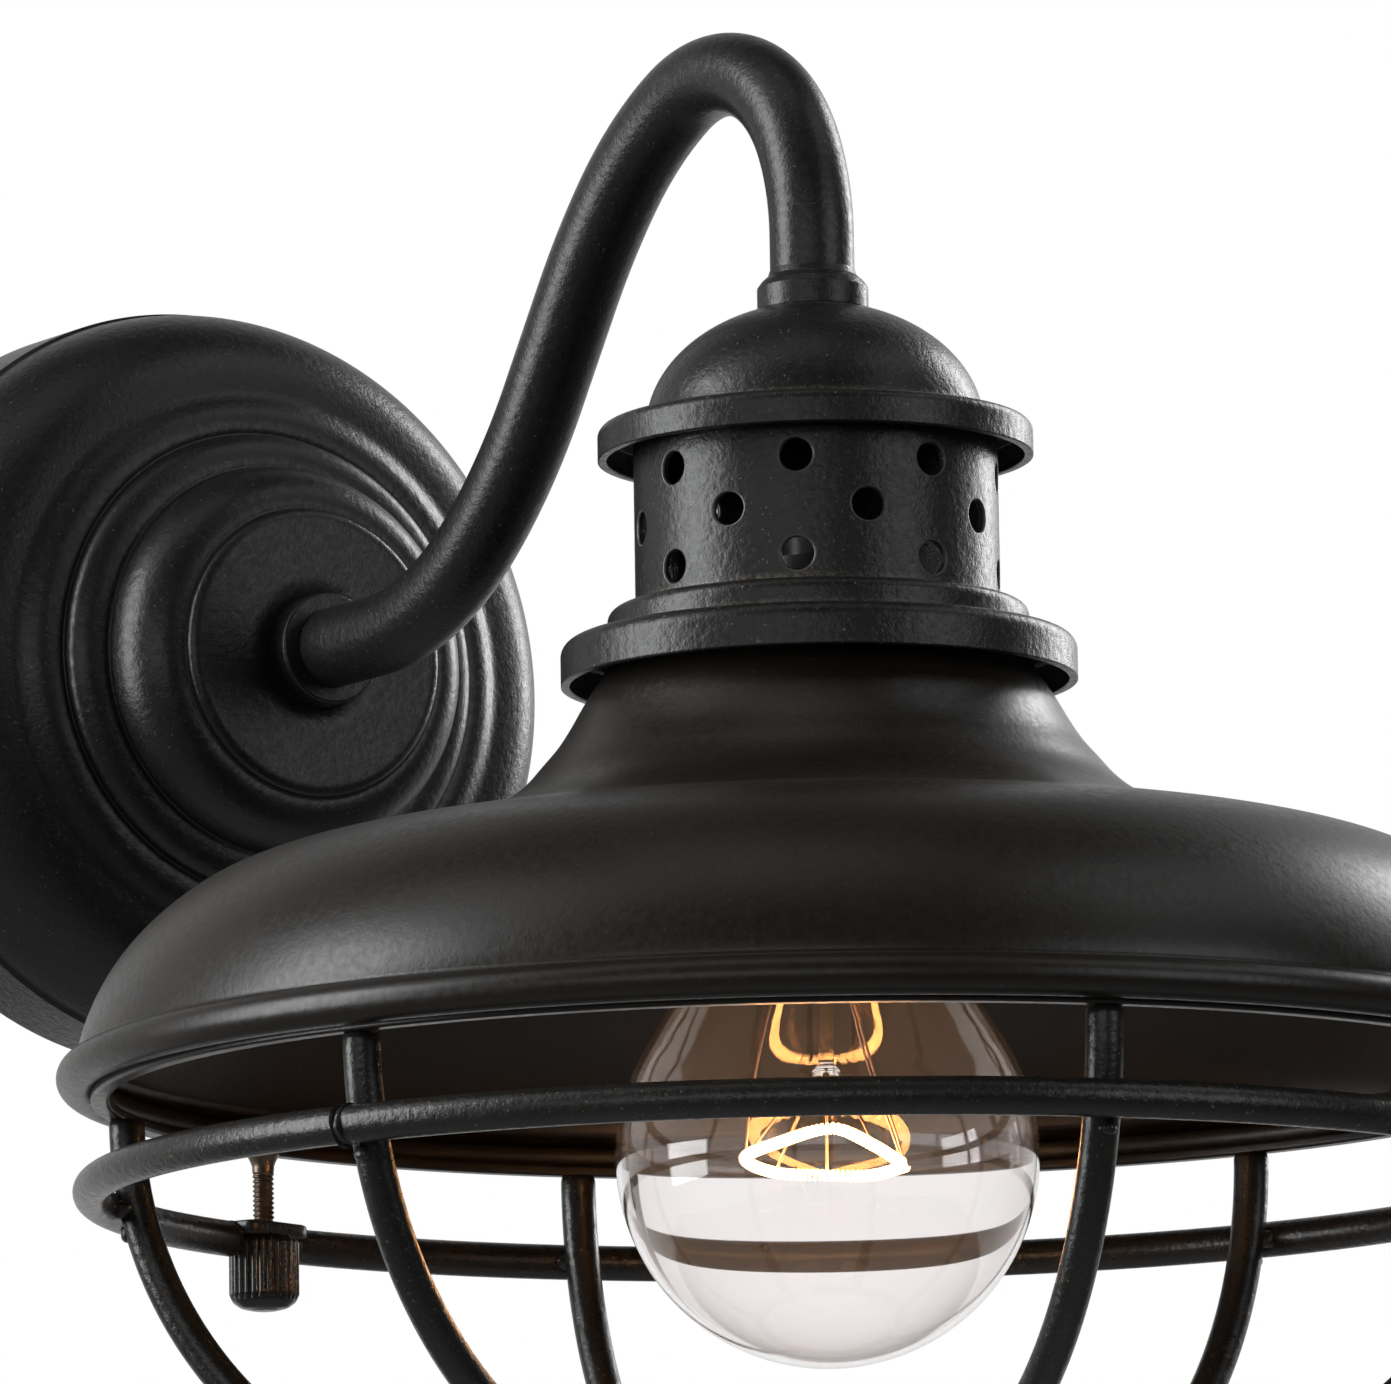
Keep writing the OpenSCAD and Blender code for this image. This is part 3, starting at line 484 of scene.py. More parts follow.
def punched_drum():
    """The drum's outer face, unrolled to (arc length, height): a cell with a hole is a fan of rings that grow
    from the hole's circle to the cell's square edge, and the cells and bands meet at shared edge points."""
    width = 2 * np.pi * drum_r / cells
    even = np.linspace(-1, 1, 9)[:-1]
    ring = 4 * len(even)
    square = np.concatenate([np.stack([-even, 0 * even + 1], -1), np.stack([0 * even - 1, -even], -1),
                             np.stack([even, 0 * even - 1], -1), np.stack([0 * even + 1, even], -1)])
    angle = np.arctan2(square[:, 1], square[:, 0])
    circle = np.stack([np.cos(angle), np.sin(angle)], -1) * hole_r
    edge = square * np.array([width / 2, row_gap / 2])
    grow = np.array([0.0, 0.36, 0.5, 0.7, 1.0])[:, None, None]
    holed = circle[None] * (1 - grow) + edge[None] * grow
    blank = edge[None] * np.array([0.04, 0.3, 0.65, 1.0])[:, None, None]
    pts, faces, count = [], [], 0
    for cell in range(cells):
        cell_middle = cell * width + first_cell * drum_r
        for row, height in enumerate(hole_rows):
            punched = (cell % 2 == 0) == (row != 1)
            shape = holed if punched else blank
            pts.append(shape.reshape(-1, 2) + np.array([cell_middle, height]))
            faces += grid_faces(len(shape), ring, False, True, count)
            if not punched:
                faces.append(list(range(count, count + ring)))
            count += len(shape) * ring
        for low, high in plain_bands:
            along = np.concatenate([even, [1.0]]) * width / 2 + cell_middle
            pts.append(np.stack([np.tile(along, 4), np.repeat(np.linspace(low, high, 4), len(along))], -1))
            faces += grid_faces(4, len(along), False, False, count)
            count += 4 * len(along)
    unrolled = np.concatenate(pts)
    a = unrolled[:, 0] / drum_r - np.pi / 2
    return np.stack([drum_r * np.cos(a), drum_r * np.sin(a) - reach, unrolled[:, 1] - drop], -1), faces


drum_points, drum_faces = punched_drum()
mesh = bpy.data.meshes.new("vent_sheet")
mesh.from_pydata((drum_points / 1000).tolist(), [], drum_faces)
work = bmesh.new()
work.from_mesh(mesh)
bmesh.ops.remove_doubles(work, verts=work.verts, dist=1e-6)
bmesh.ops.recalc_face_normals(work, faces=work.faces)
work.to_mesh(mesh)
work.free()
mesh.shade_smooth()
drum = bpy.data.objects.new("vent_sheet", mesh)
bpy.context.collection.objects.link(drum)
mesh.materials.append(dusty_black)
# the holes' bevelled rims get a paler, glossier coat: a painted highlight along each rim
mesh.materials.append(powder_coat("painted_highlight_edge", (0.075, 0.070, 0.064), 0.30, 1.0))
wall = drum.modifiers.new("wall", "SOLIDIFY")
wall.thickness = 0.001
wall.offset = -1.0
wall.use_even_offset = True
edges = drum.modifiers.new("punched_edges", "BEVEL")
edges.width = 0.00034
edges.segments = 3
edges.limit_method = "ANGLE"
edges.angle_limit = math.radians(50)
edges.harden_normals = True
edges.material = 1
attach(drum, "fixture")
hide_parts("vent_drum")

# ---------------------------------------------------------------- skirt and shade
# The skirt is a spun ring with two stepped flanges that covers the shade's neck. The shade is spun
# from 1.2 mm sheet, flared from neck to shoulder, and its rim is rolled outwards into a bead.
skirt_line = soften([[36.5, 57.5], [36.5, 63.6], [29.8, 64.0], [29.8, 68.1], [25.85, 68.4]],
                    [0, 2.1, 0.15, 1.7, 0], arc=10)
pressed("stepped_skirt", skirt_line, "up", dusty_black, "fixture", "black_coat", "neck_skirt")


def between(t, start, stop, first, second):
    """The point between two that t marks on the way from start to stop."""
    return (stop - t) / (stop - start) * first + (t - start) / (stop - start) * second


def through(points, n):
    """A smooth curve through the given points: centripetal Catmull-Rom, sampled n times between neighbours."""
    p = np.asarray(points, float)
    p = np.vstack([2 * p[0] - p[1], p, 2 * p[-1] - p[-2]])
    made = []
    for i in range(1, len(p) - 2):
        q = p[i - 1:i + 3]
        knots = np.concatenate([[0], np.cumsum(np.linalg.norm(np.diff(q, axis=0), axis=1) ** 0.5)])
        t = np.linspace(knots[1], knots[2], n, endpoint=False)[:, None]
        a = [between(t, knots[j], knots[j + 1], q[j], q[j + 1]) for j in range(3)]
        b = [between(t, knots[j], knots[j + 2], a[j], a[j + 1]) for j in range(2)]
        made.append(between(t, knots[1], knots[2], b[0], b[1]))
    return np.vstack(made + [p[-2][None]])


smooth_black = powder_coat("smooth_black_coat", (0.0124, 0.0098, 0.0072), 0.36, 1.2, glint_fleck=0.15)
bead_r, bead_place, bead_wall = 2.8, (105.2, 2.3), 1.1
body_line = through([[105.0, 5.4], [104.7, 7.2], [103.6, 10.6], [101.7, 14.6], [99, 18.7], [95.5, 22.6],
                     [91.5, 26.0], [87, 28.9], [82, 31.0], [76, 32.6], [68, 33.9], [60, 35.0], [52.8, 36.9],
                     [48.3, 38.6], [44.6, 40.6], [41.8, 42.9], [39.6, 45.4], [37.2, 48.2], [35.3, 51.1],
                     [33.7, 53.9], [32.4, 56.0], [31.2, 57.8], [29.9, 60.0], [28.9, 61.8], [28.6, 63.2],
                     [28.6, 65.6]], 4)
neck_line = soften([[28.6, 65.6], [28.6, 66.95], [20, 66.95]], [0, 0.9, 0], arc=6)
# the bead curls from the sheet's foot outwards and under, and stops on the inside
curl = arc_points(bead_place, bead_r, bead_r, 96, -205, 44)
curl_inside = arc_points(bead_place, bead_r - bead_wall, bead_r - bead_wall, 96, -205, 44)
outer = np.vstack([body_line[1:], neck_line[1:]])
shade_line = np.vstack([curl[::-1], outer, wall_of(outer, sheet)[::-1], curl_inside[2:]])
turned("spun_shade", shade_line, "up", smooth_black, "fixture", "black_coat", "shade", steps=300)

# The rim band: a flat ring of strip welded just inside the bead, which carries the two studs.
turned("rim_ring", soften([[100.6, -1.0], [103.2, -1.0], [103.2, 0.6], [100.6, 0.6]], 0.4, closed=True, arc=4),
       "up", smooth_black, "fixture", "black_coat", "rim_band", steps=300)

# ---------------------------------------------------------------- cage
# Welded from 5 mm wire: a ring in two arcs with a pierced lug at each stud, six bent ribs and a small
# ring at the bottom. The welds show as small smooth beads under the coat.
cage_black = powder_coat("cage_black_coat", (0.0175, 0.0163, 0.0150), 0.31, 2.3, 0.00005, 0.8)


def around(radius, turn, height):
    """The place `radius` off the shade's axis, `turn` degrees round from the front and `height` above the
    rim plane: (radius * sin turn, -radius * cos turn, height) from where that axis meets the plane."""
    t = np.radians(turn)
    return np.stack(np.broadcast_arrays(radius * np.sin(t), -radius * np.cos(t) - reach, height - drop), -1)


def capped(rings, first, last, start=0):
    """A tube closed at both ends: its rings' points with an end point at each end, and faces that fan from the
    end points to the first and last ring. `start` is how many points come before these in the mesh."""
    rows, steps = rings.shape[:2]
    here = np.arange(steps)
    beside = (here + 1) % steps
    last_ring = (rows - 1) * steps
    faces = grid_faces(rows, steps, False, True, start)
    ends = ((beside, here, rows * steps), (last_ring + here, last_ring + beside, rows * steps + 1))
    for one, other, tip in ends:
        faces += (np.stack([one, other, np.full(steps, tip)], -1) + start).tolist()
    return np.vstack([rings.reshape(-1, 3), first, last]), faces


def round_bar(name, centre, normal, binormal, radius, node):
    """A round wire of the cage along its centre line, closed at both ends."""
    points, faces = capped(pipe_rings(centre, normal, binormal, radius, 36), centre[0], centre[-1])
    add_piece(name, points, faces, cage_black, "cage", "black_coat", node)


hoop_r, hoop_z, hoop_wire, hoop_points = 103.2, -13.6, 2.6, 240
stud_turns, lug_half = (-160.0, 20.0), 6.4
half = math.degrees(math.asin(lug_half / hoop_r))
for letter, first in zip("ab", stud_turns):
    turns = np.linspace(first + half, first + 180 - half, hoop_points)
    centre = around(hoop_r, turns, hoop_z)
    outward = np.stack([np.sin(np.radians(turns)), -np.cos(np.radians(turns)), 0 * turns], -1)
    upright = np.tile([0, 0, 1.0], (hoop_points, 1))
    round_bar("cage_hoop_" + letter, centre, outward, upright, hoop_wire, "cage_ring_" + letter)

rib_r, rib_top, rib_wire, rib_slope, rib_run = 100.2, -1.05, 2.55, -168, 29.0
rib_turns = [-12.0 + 60 * i for i in range(6)]
rib_line, rib_heads = arc_path((rib_r, rib_top), -90, [("bend", 58, rib_slope + 90)], spacing=0.9)
run_line, run_heads = arc_path(rib_line[-1], rib_slope, [("run", rib_run)])
rib_line = np.vstack([rib_line, run_line[1:]])
rib_heads = np.concatenate([rib_heads, run_heads[1:]])
rib_radius = np.full(len(rib_line), rib_wire)
rib_radius[0] = rib_wire - 0.2
for i, turn in enumerate(rib_turns):
    t = math.radians(turn)
    centre = around(rib_line[:, 0], turn, rib_line[:, 1])
    inward = np.sin(rib_heads)
    normal = np.stack([-inward * math.sin(t), inward * math.cos(t), np.cos(rib_heads)], -1)
    sideways = np.tile([math.cos(t), math.sin(t), 0.0], (len(rib_line), 1))
    round_bar("cage_rib_%d" % (i + 1), centre, normal, sideways, rib_radius, "rib_%d" % (i + 1))

eye_r, eye_z, eye_wire = 24, -64.1, 2.5
eye_line = arc_points((eye_r, eye_z), eye_wire, eye_wire, 0, 360, 41)[:-1]
turned("cage_eye", eye_line, "up", cage_black, "cage", "black_coat", "cage_hub", steps=160)

# The welds: where a rib passes inside the hoop, and where it lands on the eye, a smooth bead of weld fills
# the nook. A drop of it sits on each rib under the hoop, and a double ridge wraps the hoop at one joint.


def swung(points, turn):
    """Points turned by `turn` degrees about the upright line through the origin."""
    t = math.radians(turn)
    x, y, z = points.T
    return np.stack([x * math.cos(t) - y * math.sin(t), x * math.sin(t) + y * math.cos(t), z], -1)


def beads(name, places):
    """Small rounded lumps: ellipsoids centre + size * unit sphere, swollen a little by two sines so that no
    two match. places lists (centre, turn about the upright, half length, half width, half height), all in
    millimetres and degrees."""
    rows, steps = 13, 20
    u = np.linspace(0, np.pi, rows)[:, None]
    v = np.linspace(0, 2 * np.pi, steps, endpoint=False)[None, :]
    u, v = np.broadcast_arrays(u, v)
    ball = np.stack([np.sin(u) * np.cos(v), np.sin(u) * np.sin(v), np.cos(u)], -1).reshape(-1, 3)
    pts, faces = [], []
    for i, (centre, turn, *halves) in enumerate(places):
        swell = 1 + 0.10 * np.sin(3 * ball[:, 0] + 1.7 * i) + 0.08 * np.sin(4 * ball[:, 2] + 2.3 * i)
        pts.append(swung(ball * swell[:, None] * np.array(halves), turn) + centre)
        faces += grid_faces(rows, steps, False, True, i * len(ball))
    add_piece(name, np.vstack(pts), faces, cage_black, "cage", "black_coat", poles=True)


hoop_joint = -72
welds = []
for turn in rib_turns:
    for side in (-1, 1):
        welds.append((around(hoop_r - 2.2, turn + side * 1.15, hoop_z - 0.3), turn, 1.5, 2.0, 1.35))
        welds.append((around(eye_r + 1.6, turn + side * 3.6, eye_z + 0.5), turn, 1.6, 1.9, 1.5))
    welds.append((around(rib_r, turn, hoop_z - 3.5), turn, 1.3, 1.1, 1.25))
for along in (-0.42, 0.36):
    welds.append((around(hoop_r, hoop_joint + along, hoop_z), hoop_joint, 0.42, 2.9, 2.75))
beads("weld_beads", welds)

# The lugs: flat ears of 2 mm strip between the hoop's ends, pierced for the studs, corners eased.
ear_r, ear_z, ear_hole_r, ear_half, ear_corner = 102.1, -12.0, 1.9, np.array([6.6, 3.5]), 1.2


def pierced_ear(name, turn, node):
    """A flat plate with one round hole: rows run from the hole's edge out to the rounded rectangle and back
    underneath, and the point at angle t on each row lies on the hole's circle or on the plate's outline."""
    steps = 64
    t = np.linspace(0, 2 * np.pi, steps, endpoint=False)
    ray = np.stack([np.cos(t), np.sin(t)], -1)
    box = ray / np.max(np.abs(ray) / ear_half, axis=1)[:, None]
    past = np.clip(np.abs(box) - (ear_half - ear_corner), 0, None)
    length = np.linalg.norm(past, axis=1)[:, None]
    cut = (past > 0).all(1)[:, None] & (length > ear_corner)
    eased = ear_half - ear_corner + past * ear_corner / np.maximum(length, 1e-9)
    box = np.where(cut, np.sign(box) * eased, box)
    rise = [(0.0, 0.7), (0.04, 0.93), (0.1, 1.0), (0.5, 1.0), (0.9, 1.0), (0.96, 0.93), (1.0, 0.7)]
    rows = [np.column_stack([ray * ear_hole_r * (1 - out) + box * out, np.full(steps, z)])
            for out, z in rise + [(out, -z) for out, z in rise[::-1]]]
    points = swung(np.vstack(rows) + np.array([0, -ear_r, ear_z]), turn) + np.array([0, -reach, -drop])
    add_piece(name, points, grid_faces(len(rows), steps, True, True), cage_black, "cage", "black_coat", node)


ear_welds = []
for i, turn in enumerate(stud_turns):
    pierced_ear("stud_ear_%d" % (i + 1), turn, "cage_lug_%d" % (i + 1))
    for side in (-1, 1):
        ear_welds.append((around(hoop_r - 0.2, turn + side * 3.75, ear_z - 0.6), turn, 1.5, 2.2, 1.5))
beads("ear_welds", ear_welds)

# ---------------------------------------------------------------- studs and thumb nuts
# Two threaded steel studs hang from the rim band; their warm brown is a painted reflection of the bulb's light.
# Each takes a straight-knurled thumb nut with a domed end, which clamps the cage's ear.


def grained(name, low, high, gloss, scale, metallic=0.0):
    """A smooth body: a colour between two tones, a roughness between two values and a slight ripple that all
    follow one fine noise."""
    material, tree, bsdf = new_finish(name)
    bsdf.inputs["Metallic"].default_value = metallic
    speck = noise(tree, scale, 3)
    tree.links.new(blend(tree, speck, low, high), bsdf.inputs["Base Color"])
    tree.links.new(span(tree, speck, *gloss), bsdf.inputs["Roughness"])
    tree.links.new(ripple(tree, speck, 0.3, 0.00001), bsdf.inputs["Normal"])
    return material


def metal(name, color, rough, dark=0.75):
    """Bare or plated metal, whose darker tone is the share `dark` of its colour."""
    return grained(name, tuple(c * dark for c in color), color, (rough - 0.08, rough + 0.08), 900, 1.0)


# warm brown metal colour: a painted reflection of the bulb's warm light
stud_steel = metal("warm_reflection_thread", (0.30, 0.235, 0.175), 0.42, dark=0.35)
nut_coat = powder_coat("nut_coat", (0.013, 0.0115, 0.0105), 0.27, 1.4)

# The thread is a rounded triangle wave that climbs one pitch each turn and fades out at the weld, where the
# stud flares into the band.
stud_place_r, stud_r, stud_foot, stud_top = 101.9, 1.6, -20.3, -0.85
thread_pitch, thread_depth, thread_top, flare_foot = 0.7, 0.34, -3.2, -2.8
levels = np.arange(stud_foot, stud_top, 0.05)
height, angle = np.meshgrid(levels, np.linspace(0, 2 * np.pi, 28, endpoint=False), indexing="ij")
wave = np.abs(((height / thread_pitch + angle / (2 * np.pi)) % 1.0) * 2 - 1)
depth = thread_depth * np.clip((thread_top - height) / 1.2, 0, 1) * np.clip((height - stud_foot) / 0.5, 0.25, 1)
radius = stud_r - depth * wave + 0.8 * np.clip((height - flare_foot) / 1.8, 0, 1) ** 1.4
stud_shape = np.stack([radius * np.cos(angle), radius * np.sin(angle), height], -1)
pts, faces, count = [], [], 0
for turn in stud_turns:
    axis = around(stud_place_r, turn, 0)
    foot, top = axis + [0, 0, levels[0]], axis + [0, 0, levels[-1]]
    stud_points, stud_faces = capped(stud_shape + axis, foot, top, count)
    pts.append(stud_points)
    faces += stud_faces
    count += len(stud_points)
add_piece("threaded_studs", np.vstack(pts), faces, stud_steel, "fixture", "stud_steel", "studs")

# The knurl is 26 rounded ridges, cut back at the chamfer and fading into the dome.
ridges, knurl_depth, knurl_foot, knurl_top, nut_steps = 26, 0.42, -22.4, -13.15, 384
nut_line = soften([[1.66, -13.0], [4.5, -13.0], [5.1, -13.8], [5.1, -21.4], [4.6, -22.5], [3.4, -23.35],
                   [1.6, -23.75], [0.0, -23.8]], [0.15, 0.3, 0.4, 0.9, 1.2, 2.0, 3.0, 0], arc=5)
nut_line = np.vstack([nut_line, [[0.0, -21.0], [1.66, -21.0]]])
fill = []
for here, there in zip(nut_line[:-1], nut_line[1:]):
    fill.append(np.linspace(here, there, max(2, int(np.linalg.norm(there - here) / 0.5) + 1))[:-1])
nut_line = np.vstack(fill + [nut_line[-1:]])
angle = np.linspace(0, 2 * np.pi, nut_steps, endpoint=False)
plain, height = nut_line[:, :1], nut_line[:, 1:]
band = np.clip((height - knurl_foot) / 0.9, 0, 1) * np.clip((knurl_top - height) / 0.5, 0, 1) * (plain > 3.5)
radius = plain - knurl_depth * band * (1 - np.abs(np.cos(ridges / 2 * angle)) ** 0.8)
nut_shape = np.stack([radius * np.cos(angle), radius * np.sin(angle), height + 0 * angle], -1).reshape(-1, 3)
for i, turn in enumerate(stud_turns):
    nut = "thumb_nut_%d" % (i + 1)
    add_piece("knurled_nut_%d" % (i + 1), nut_shape + around(stud_place_r, turn, 0),
              grid_faces(len(nut_line), nut_steps, True, True), nut_coat, nut, "nut_metal", nut, poles=True)

# ---------------------------------------------------------------- bulb
# A clear 60 mm bulb with its filament lit: blown glass, a pressed glass stem with two lead-in wires
# and fine supports, an arched coil, and a threaded metal base with a black glass insulator.


def clear_glass(name, tint, glow_tint, clear):
    """Clear glass: a faint tint that drifts with fine noise, and turns to the warm `glow_tint` colour on the
    bulb's upper part, between 5 mm below the rim plane and 20 mm above it: a painted glow of the filament's
    light."""
    material, tree, bsdf = new_finish(name)
    drifting = blend(tree, noise(tree, 90), tuple(c * 0.985 for c in tint), tint)
    # the warm colour on the upper glass is a painted glow of the filament's light
    painted_glow = span(tree, height_of(tree), 0, 1, (-5 - drop) / 1000, (20 - drop) / 1000)
    tree.links.new(blend(tree, painted_glow, drifting, glow_tint), bsdf.inputs["Base Color"])
    bsdf.inputs["Transmission Weight"].default_value = clear
    bsdf.inputs["Roughness"].default_value = 0.0
    bsdf.inputs["IOR"].default_value = 1.46
    return material


globe_r, globe_z, glass_wall = 29.75, -9.6, 0.7
# the second colour is the painted warm glow on the bulb's upper part
glass = clear_glass("blown_glass", (0.985, 0.975, 0.982), (0.95, 0.905, 0.84), 0.985)
ball = arc_points((0, globe_z), globe_r, globe_r, -90, 33, 84)
ball[0, 0] = 0.0
neck = through([ball[-1], [21.75, 12.1], [18.7, 17.5], [16.3, 23.0], [14.6, 28.5], [13.5, 33.5], [12.7, 38.05],
                [12.7, 43.9]], 8)[1:]
envelope = np.vstack([ball, neck])
hollow = wall_of(envelope, glass_wall)[::-1]
hollow[-1] = (0.0, globe_z - globe_r + glass_wall)
bulb_glass = turned("glass_envelope", np.vstack([envelope, hollow]), "up", glass, "bulb", "bulb_glass",
                    "bulb_glass", steps=200, poles=True)
bulb_glass.visible_shadow = False

stem_line = np.vstack([
    soften([[0.0, 1.2], [1.9, 1.4], [2.1, 2.4], [1.1, 3.4], [1.0, 15.5], [2.9, 17.5], [2.9, 26.0], [4.4, 34.0],
            [11.6, 42.2], [12.0, 43.2]], [0, 0.8, 0.6, 1.0, 2.0, 1.5, 4, 5, 2, 0], arc=6),
    [[11.4, 43.2]], soften([[11.2, 42.4], [3.6, 34.6], [2.0, 27.5], [0.0, 26.8]], [0, 4, 2, 0], arc=5)])
stem_glass = clear_glass("drawn_glass", (0.96, 0.975, 0.97), (0.95, 0.90, 0.82), 0.99)
stem = turned("pressed_stem", stem_line, "up", stem_glass, "bulb", "stem_glass", "bulb_stem", steps=96,
              poles=True)
stem.visible_shadow = False


def unit(rows):
    """Each row scaled to a length of one."""
    return rows / np.linalg.norm(rows, axis=1)[:, None]


def wires(name, routes, radius, material, body, slot, *nodes):
    """Thin wires in one mesh: each route is a smooth curve through its points, and its round section lies
    across the curve, on the cross of the curve's heading with one fixed direction."""
    pts, faces, count = [], [], 0
    for route in routes:
        curve = through(route, 8)
        heading = unit(np.gradient(curve, axis=0))
        fixed = np.array([0.3, 0.2, 0.93]) if abs(heading[0, 2]) < 0.8 else np.array([0.93, 0.2, 0.3])
        normal = unit(np.cross(heading, fixed))
        rings = pipe_rings(curve, normal, np.cross(heading, normal), radius, 12)
        wire_points, wire_faces = capped(rings, curve[0], curve[-1], count)
        pts.append(wire_points)
        faces += wire_faces
        count += len(wire_points)
    add_piece(name, np.vstack(pts), faces, material, body, slot, *nodes)


def in_bulb(x, toward, z):
    """A point in the bulb: x to the right and `toward` nearer as the lens sees it, z above the rim plane."""
    return np.array([x * math.cos(yaw) - toward * math.sin(yaw),
                     -x * math.sin(yaw) - toward * math.cos(yaw) - reach, z - drop])


lead_wire = metal("lead_in_wire", (0.62, 0.42, 0.30), 0.3)
# the coil hangs in straight stretches between its hooks: (x, toward, z) from one lead-in round to the other
hooks = [(10.9, -2.2, -10.9), (6.0, -9.2, -11.3), (0.0, -10.9, -11.0), (-7.4, -8.2, -10.8),
         (-11.6, -1.0, -9.5), (-6.0, 6.6, -8.0), (-0.8, 10.6, -7.0), (1.4, 10.5, -7.0), (6.6, 5.6, -8.9),
         (10.5, 0.6, -10.8)]
coil_line = through([in_bulb(*hook) for hook in hooks], 10)
# two lead-ins reach the coil's ends and a third wire its middle, and supports rise from the stem's button
leads_in = [([(2.2, -0.7, 17.5), (4.2, -1.0, 11.6), (6.6, -1.6, 3.0), (9.6, -2.2, -6.0)], coil_line[0]),
            ([(2.2, 0.7, 17.5), (3.6, 0.7, 12.0), (5.8, 0.8, 3.4), (8.8, 0.8, -5.6)], coil_line[-1]),
            ([(-2.2, 0, 17.5), (-6.6, 0.2, 14.2), (-8.4, 0.2, 9.0), (-10.4, -0.4, 0.0)], coil_line[40])]
routes = [[in_bulb(*spot) for spot in spots] + [end] for spots, end in leads_in]
foot = in_bulb(0, 0, 2.2)
for tip in coil_line[20:81:10]:
    routes.append([foot, foot * 0.6 + tip * 0.4 + np.array([0, 0, 1.4]), tip])
wires("support_wires", routes, 0.2, lead_wire, "bulb", "wire_steel", "bulb_supports")

# The filament: a fine wire wound in a helix about the line through its hooks.
glow, tree, bsdf = new_finish("white_hot_coil")
bsdf.inputs["Base Color"].default_value = (1, 0.6, 0.3, 1)
heat = blend(tree, noise(tree, 260), (1.0, 0.42, 0.12), (1.0, 0.58, 0.22))
tree.links.new(heat, bsdf.inputs["Emission Color"])
bsdf.inputs["Emission Strength"].default_value = 60.0
coil_r, coil_wire, coil_pitch = 0.62, 0.22, 0.72
marks = np.arange(len(coil_line))
fine = np.arange(0, len(coil_line) - 1, 0.02)
core = np.stack([np.interp(fine, marks, coil_line[:, axis]) for axis in range(3)], -1)
heading = unit(np.gradient(core, axis=0))
level_side = unit(np.cross(heading, [0, 0, 1.0]))
other_side = np.cross(heading, level_side)
length = np.concatenate([[0], np.cumsum(np.linalg.norm(np.diff(core, axis=0), axis=1))])
spin = 2 * np.pi * length[:, None] / coil_pitch
helix = core + coil_r * (np.cos(spin) * level_side + np.sin(spin) * other_side)
inward = unit(core - helix)
rings = pipe_rings(helix, inward, np.cross(unit(np.gradient(helix, axis=0)), inward), coil_wire, 6)
add_piece("coiled_filament", *capped(rings, helix[0], helix[-1]), glow, "bulb", "filament", "filament")

# The base: a rolled thread like a lamp cap's, its crests one cosine wave that climbs a pitch each turn.
base_metal = metal("bulb_base_metal", (0.72, 0.70, 0.66), 0.3, dark=0.9)
crest_r, root_depth, base_pitch, base_steps = 13.0, 0.95, 3.629, 160
base_foot, thread_foot, thread_end, base_top = 37.95, 41.0, 57.3, 57.45
levels = np.linspace(base_foot, base_top, 200)
height, angle = np.meshgrid(levels, np.linspace(0, 2 * np.pi, base_steps, endpoint=False), indexing="ij")
wave = 0.5 - 0.5 * np.cos(2 * np.pi * (height / base_pitch - angle / (2 * np.pi)))
faded = np.clip((height - thread_foot) / 2.2, 0, 1) * np.clip((thread_end - height) / 1.0, 0, 1)
radius = crest_r - root_depth * wave * faded
thread = np.stack([radius * np.cos(angle), radius * np.sin(angle) - reach, height - drop], -1).reshape(-1, 3)
top_line = soften([[13.0, 57.6], [9.8, 59.75], [9.5, 59.45], [12.0, 57.4]], 0.1, arc=3)
top = turned_points(top_line, base_steps, "up")
low = turned_points(np.array([[11.7, 57.2], [11.7, 44.2], [12.72, 38.0]]), base_steps, "up")
pts = np.vstack([thread, top, low])
add_piece("threaded_base", pts, grid_faces(len(pts) // base_steps, base_steps, True, True), base_metal, "bulb",
          "bulb_base", "bulb_cap")

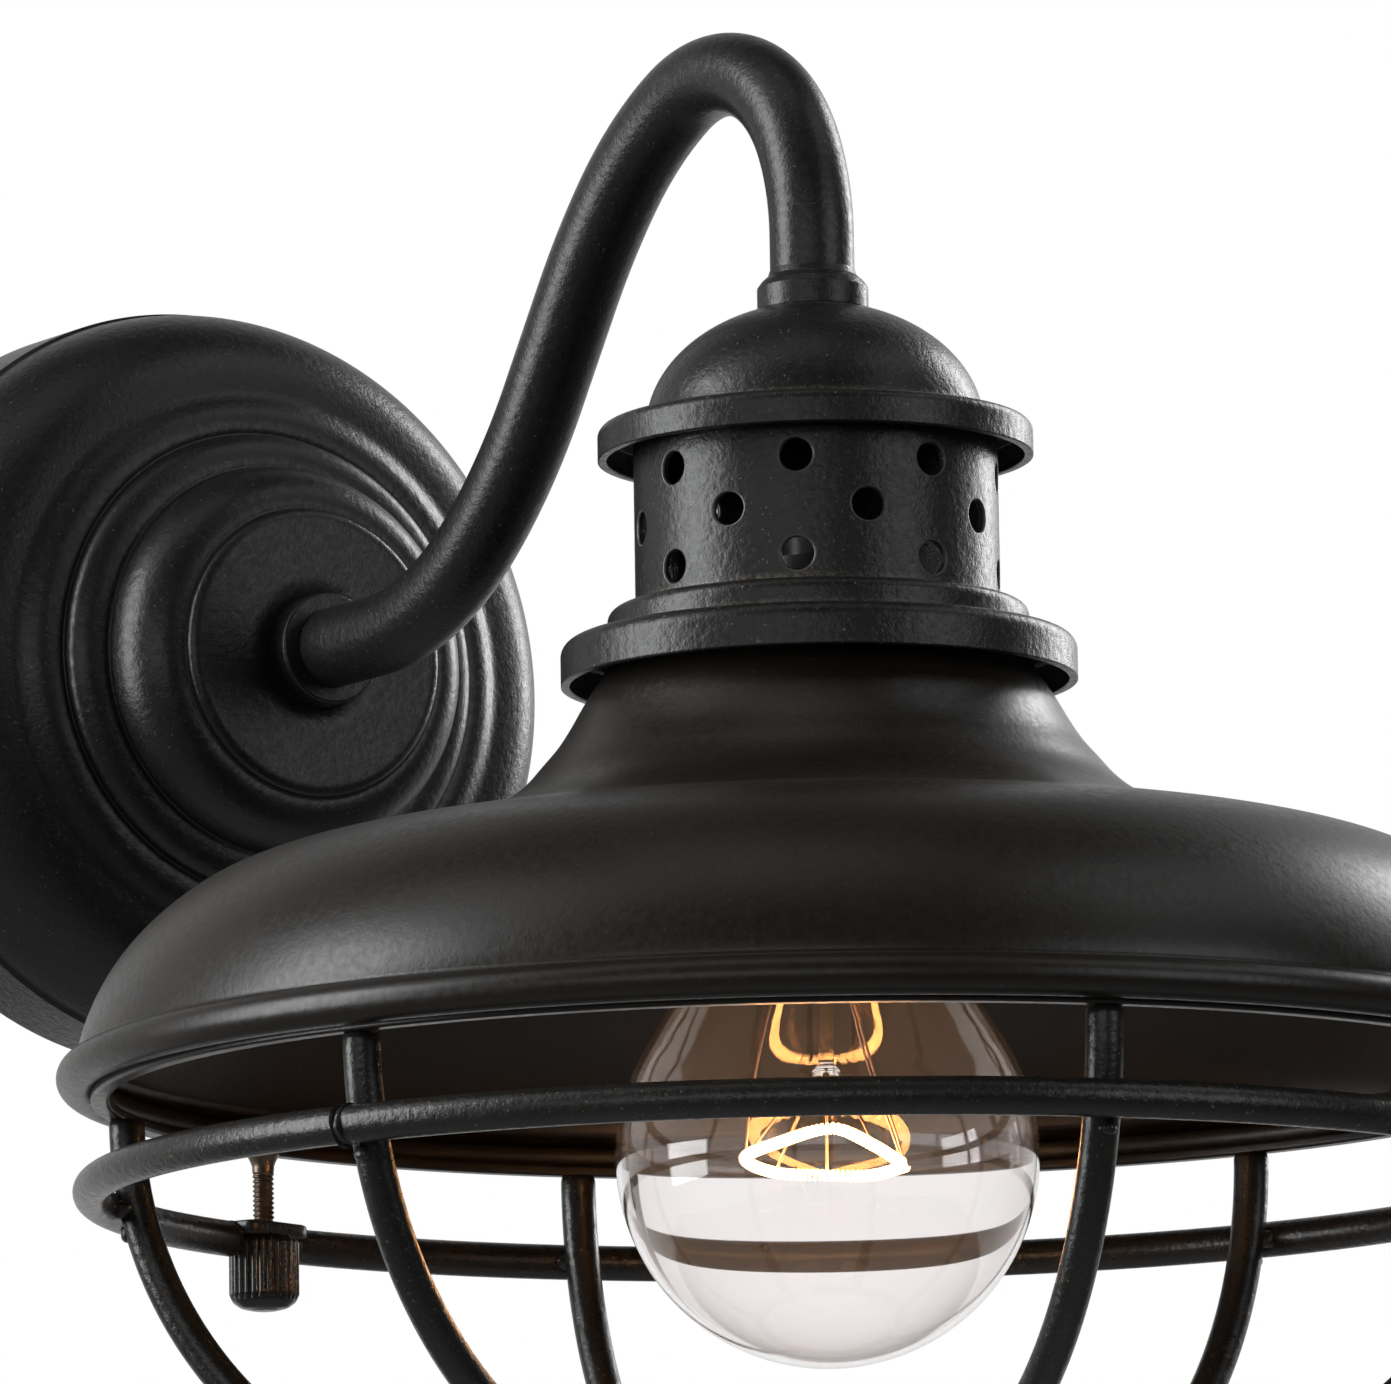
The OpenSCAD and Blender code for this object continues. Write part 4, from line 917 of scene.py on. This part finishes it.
vitrite, tree, bsdf = new_finish("black_insulator_glass")
bsdf.inputs["Roughness"].default_value = 0.12
glassy = blend(tree, noise(tree, 400), (0.006, 0.006, 0.008), (0.02, 0.018, 0.024))
tree.links.new(glassy, bsdf.inputs["Base Color"])
turned("base_insulator", soften([[0, 59.65], [9.7, 59.65], [8.6, 60.8], [4.6, 62.45], [0, 62.45]],
                                [0, 0.2, 1.2, 0.8, 0], arc=6), "up", vitrite, "bulb", "black_glass",
       "bulb_insulator", steps=96, poles=True)
turned("base_contact", soften([[0, 62.45], [4.5, 62.45], [4.1, 63.2], [2.4, 63.6], [0, 63.65]],
                              [0, 0.2, 0.5, 1.5, 0], arc=6), "up", base_metal, "bulb", "bulb_base",
       "bulb_contact", steps=96, poles=True)

# ---------------------------------------------------------------- lampholder
# A glazed porcelain body in a plated steel cap on the threaded nipple, with a drawn brass screw shell,
# a spring contact and two brass terminal screws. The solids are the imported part's own.


def finish_nodes(material, *names):
    """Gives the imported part's own pieces their finish."""
    for name in names:
        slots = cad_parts[name].data.materials
        slots.clear()
        slots.append(material)


def glazed(name, low, high, rough):
    """Glaze, paint or plastic between two tones."""
    return grained(name, low, high, (rough * 0.8, rough * 1.2), 500)


brass = metal("drawn_brass", (0.80, 0.58, 0.27), 0.28, dark=0.8)
zinc = metal("zinc_plate", (0.60, 0.61, 0.62), 0.36, dark=0.8)
finish_nodes(glazed("porcelain_glaze", (0.74, 0.72, 0.67), (0.82, 0.80, 0.75), 0.16), "socket_body")
finish_nodes(brass, "socket_shell", "socket_contact", "socket_screws")
finish_nodes(metal("dull_zinc", (0.20, 0.20, 0.205), 0.5), "socket_cap", "shade_nipple", "cap_nut")

# ---------------------------------------------------------------- mounting behind the plate
# A plated steel crossbar with two slots for the box screws, its bent ends tapped for the plate's side
# screws, a green ground screw, and the nipple, washer and nut that draw the arm to the plate.
finish_nodes(zinc, "crossbar", "plate_washer", "plate_nut")
finish_nodes(metal("yellow_zinc", (0.62, 0.52, 0.30), 0.34, dark=0.8), "plate_nipple")
finish_nodes(glazed("green_screw_paint", (0.02, 0.16, 0.05), (0.03, 0.24, 0.07), 0.35), "ground_screw")
finish_nodes(coarse_black, "side_screws")

# ---------------------------------------------------------------- leads and connectors
# Two covered leads run from the lampholder's screws up through the nipple and the whole arm, and end in
# twist-on connectors inside the wall plate.
finish_nodes(glazed("black_lead_cover", (0.012, 0.012, 0.012), (0.022, 0.022, 0.022), 0.45), "lead_line")
finish_nodes(glazed("white_lead_cover", (0.66, 0.66, 0.63), (0.76, 0.76, 0.73), 0.45), "lead_neutral")
finish_nodes(glazed("orange_connector", (0.62, 0.20, 0.02), (0.76, 0.27, 0.03), 0.4), "wire_connectors")
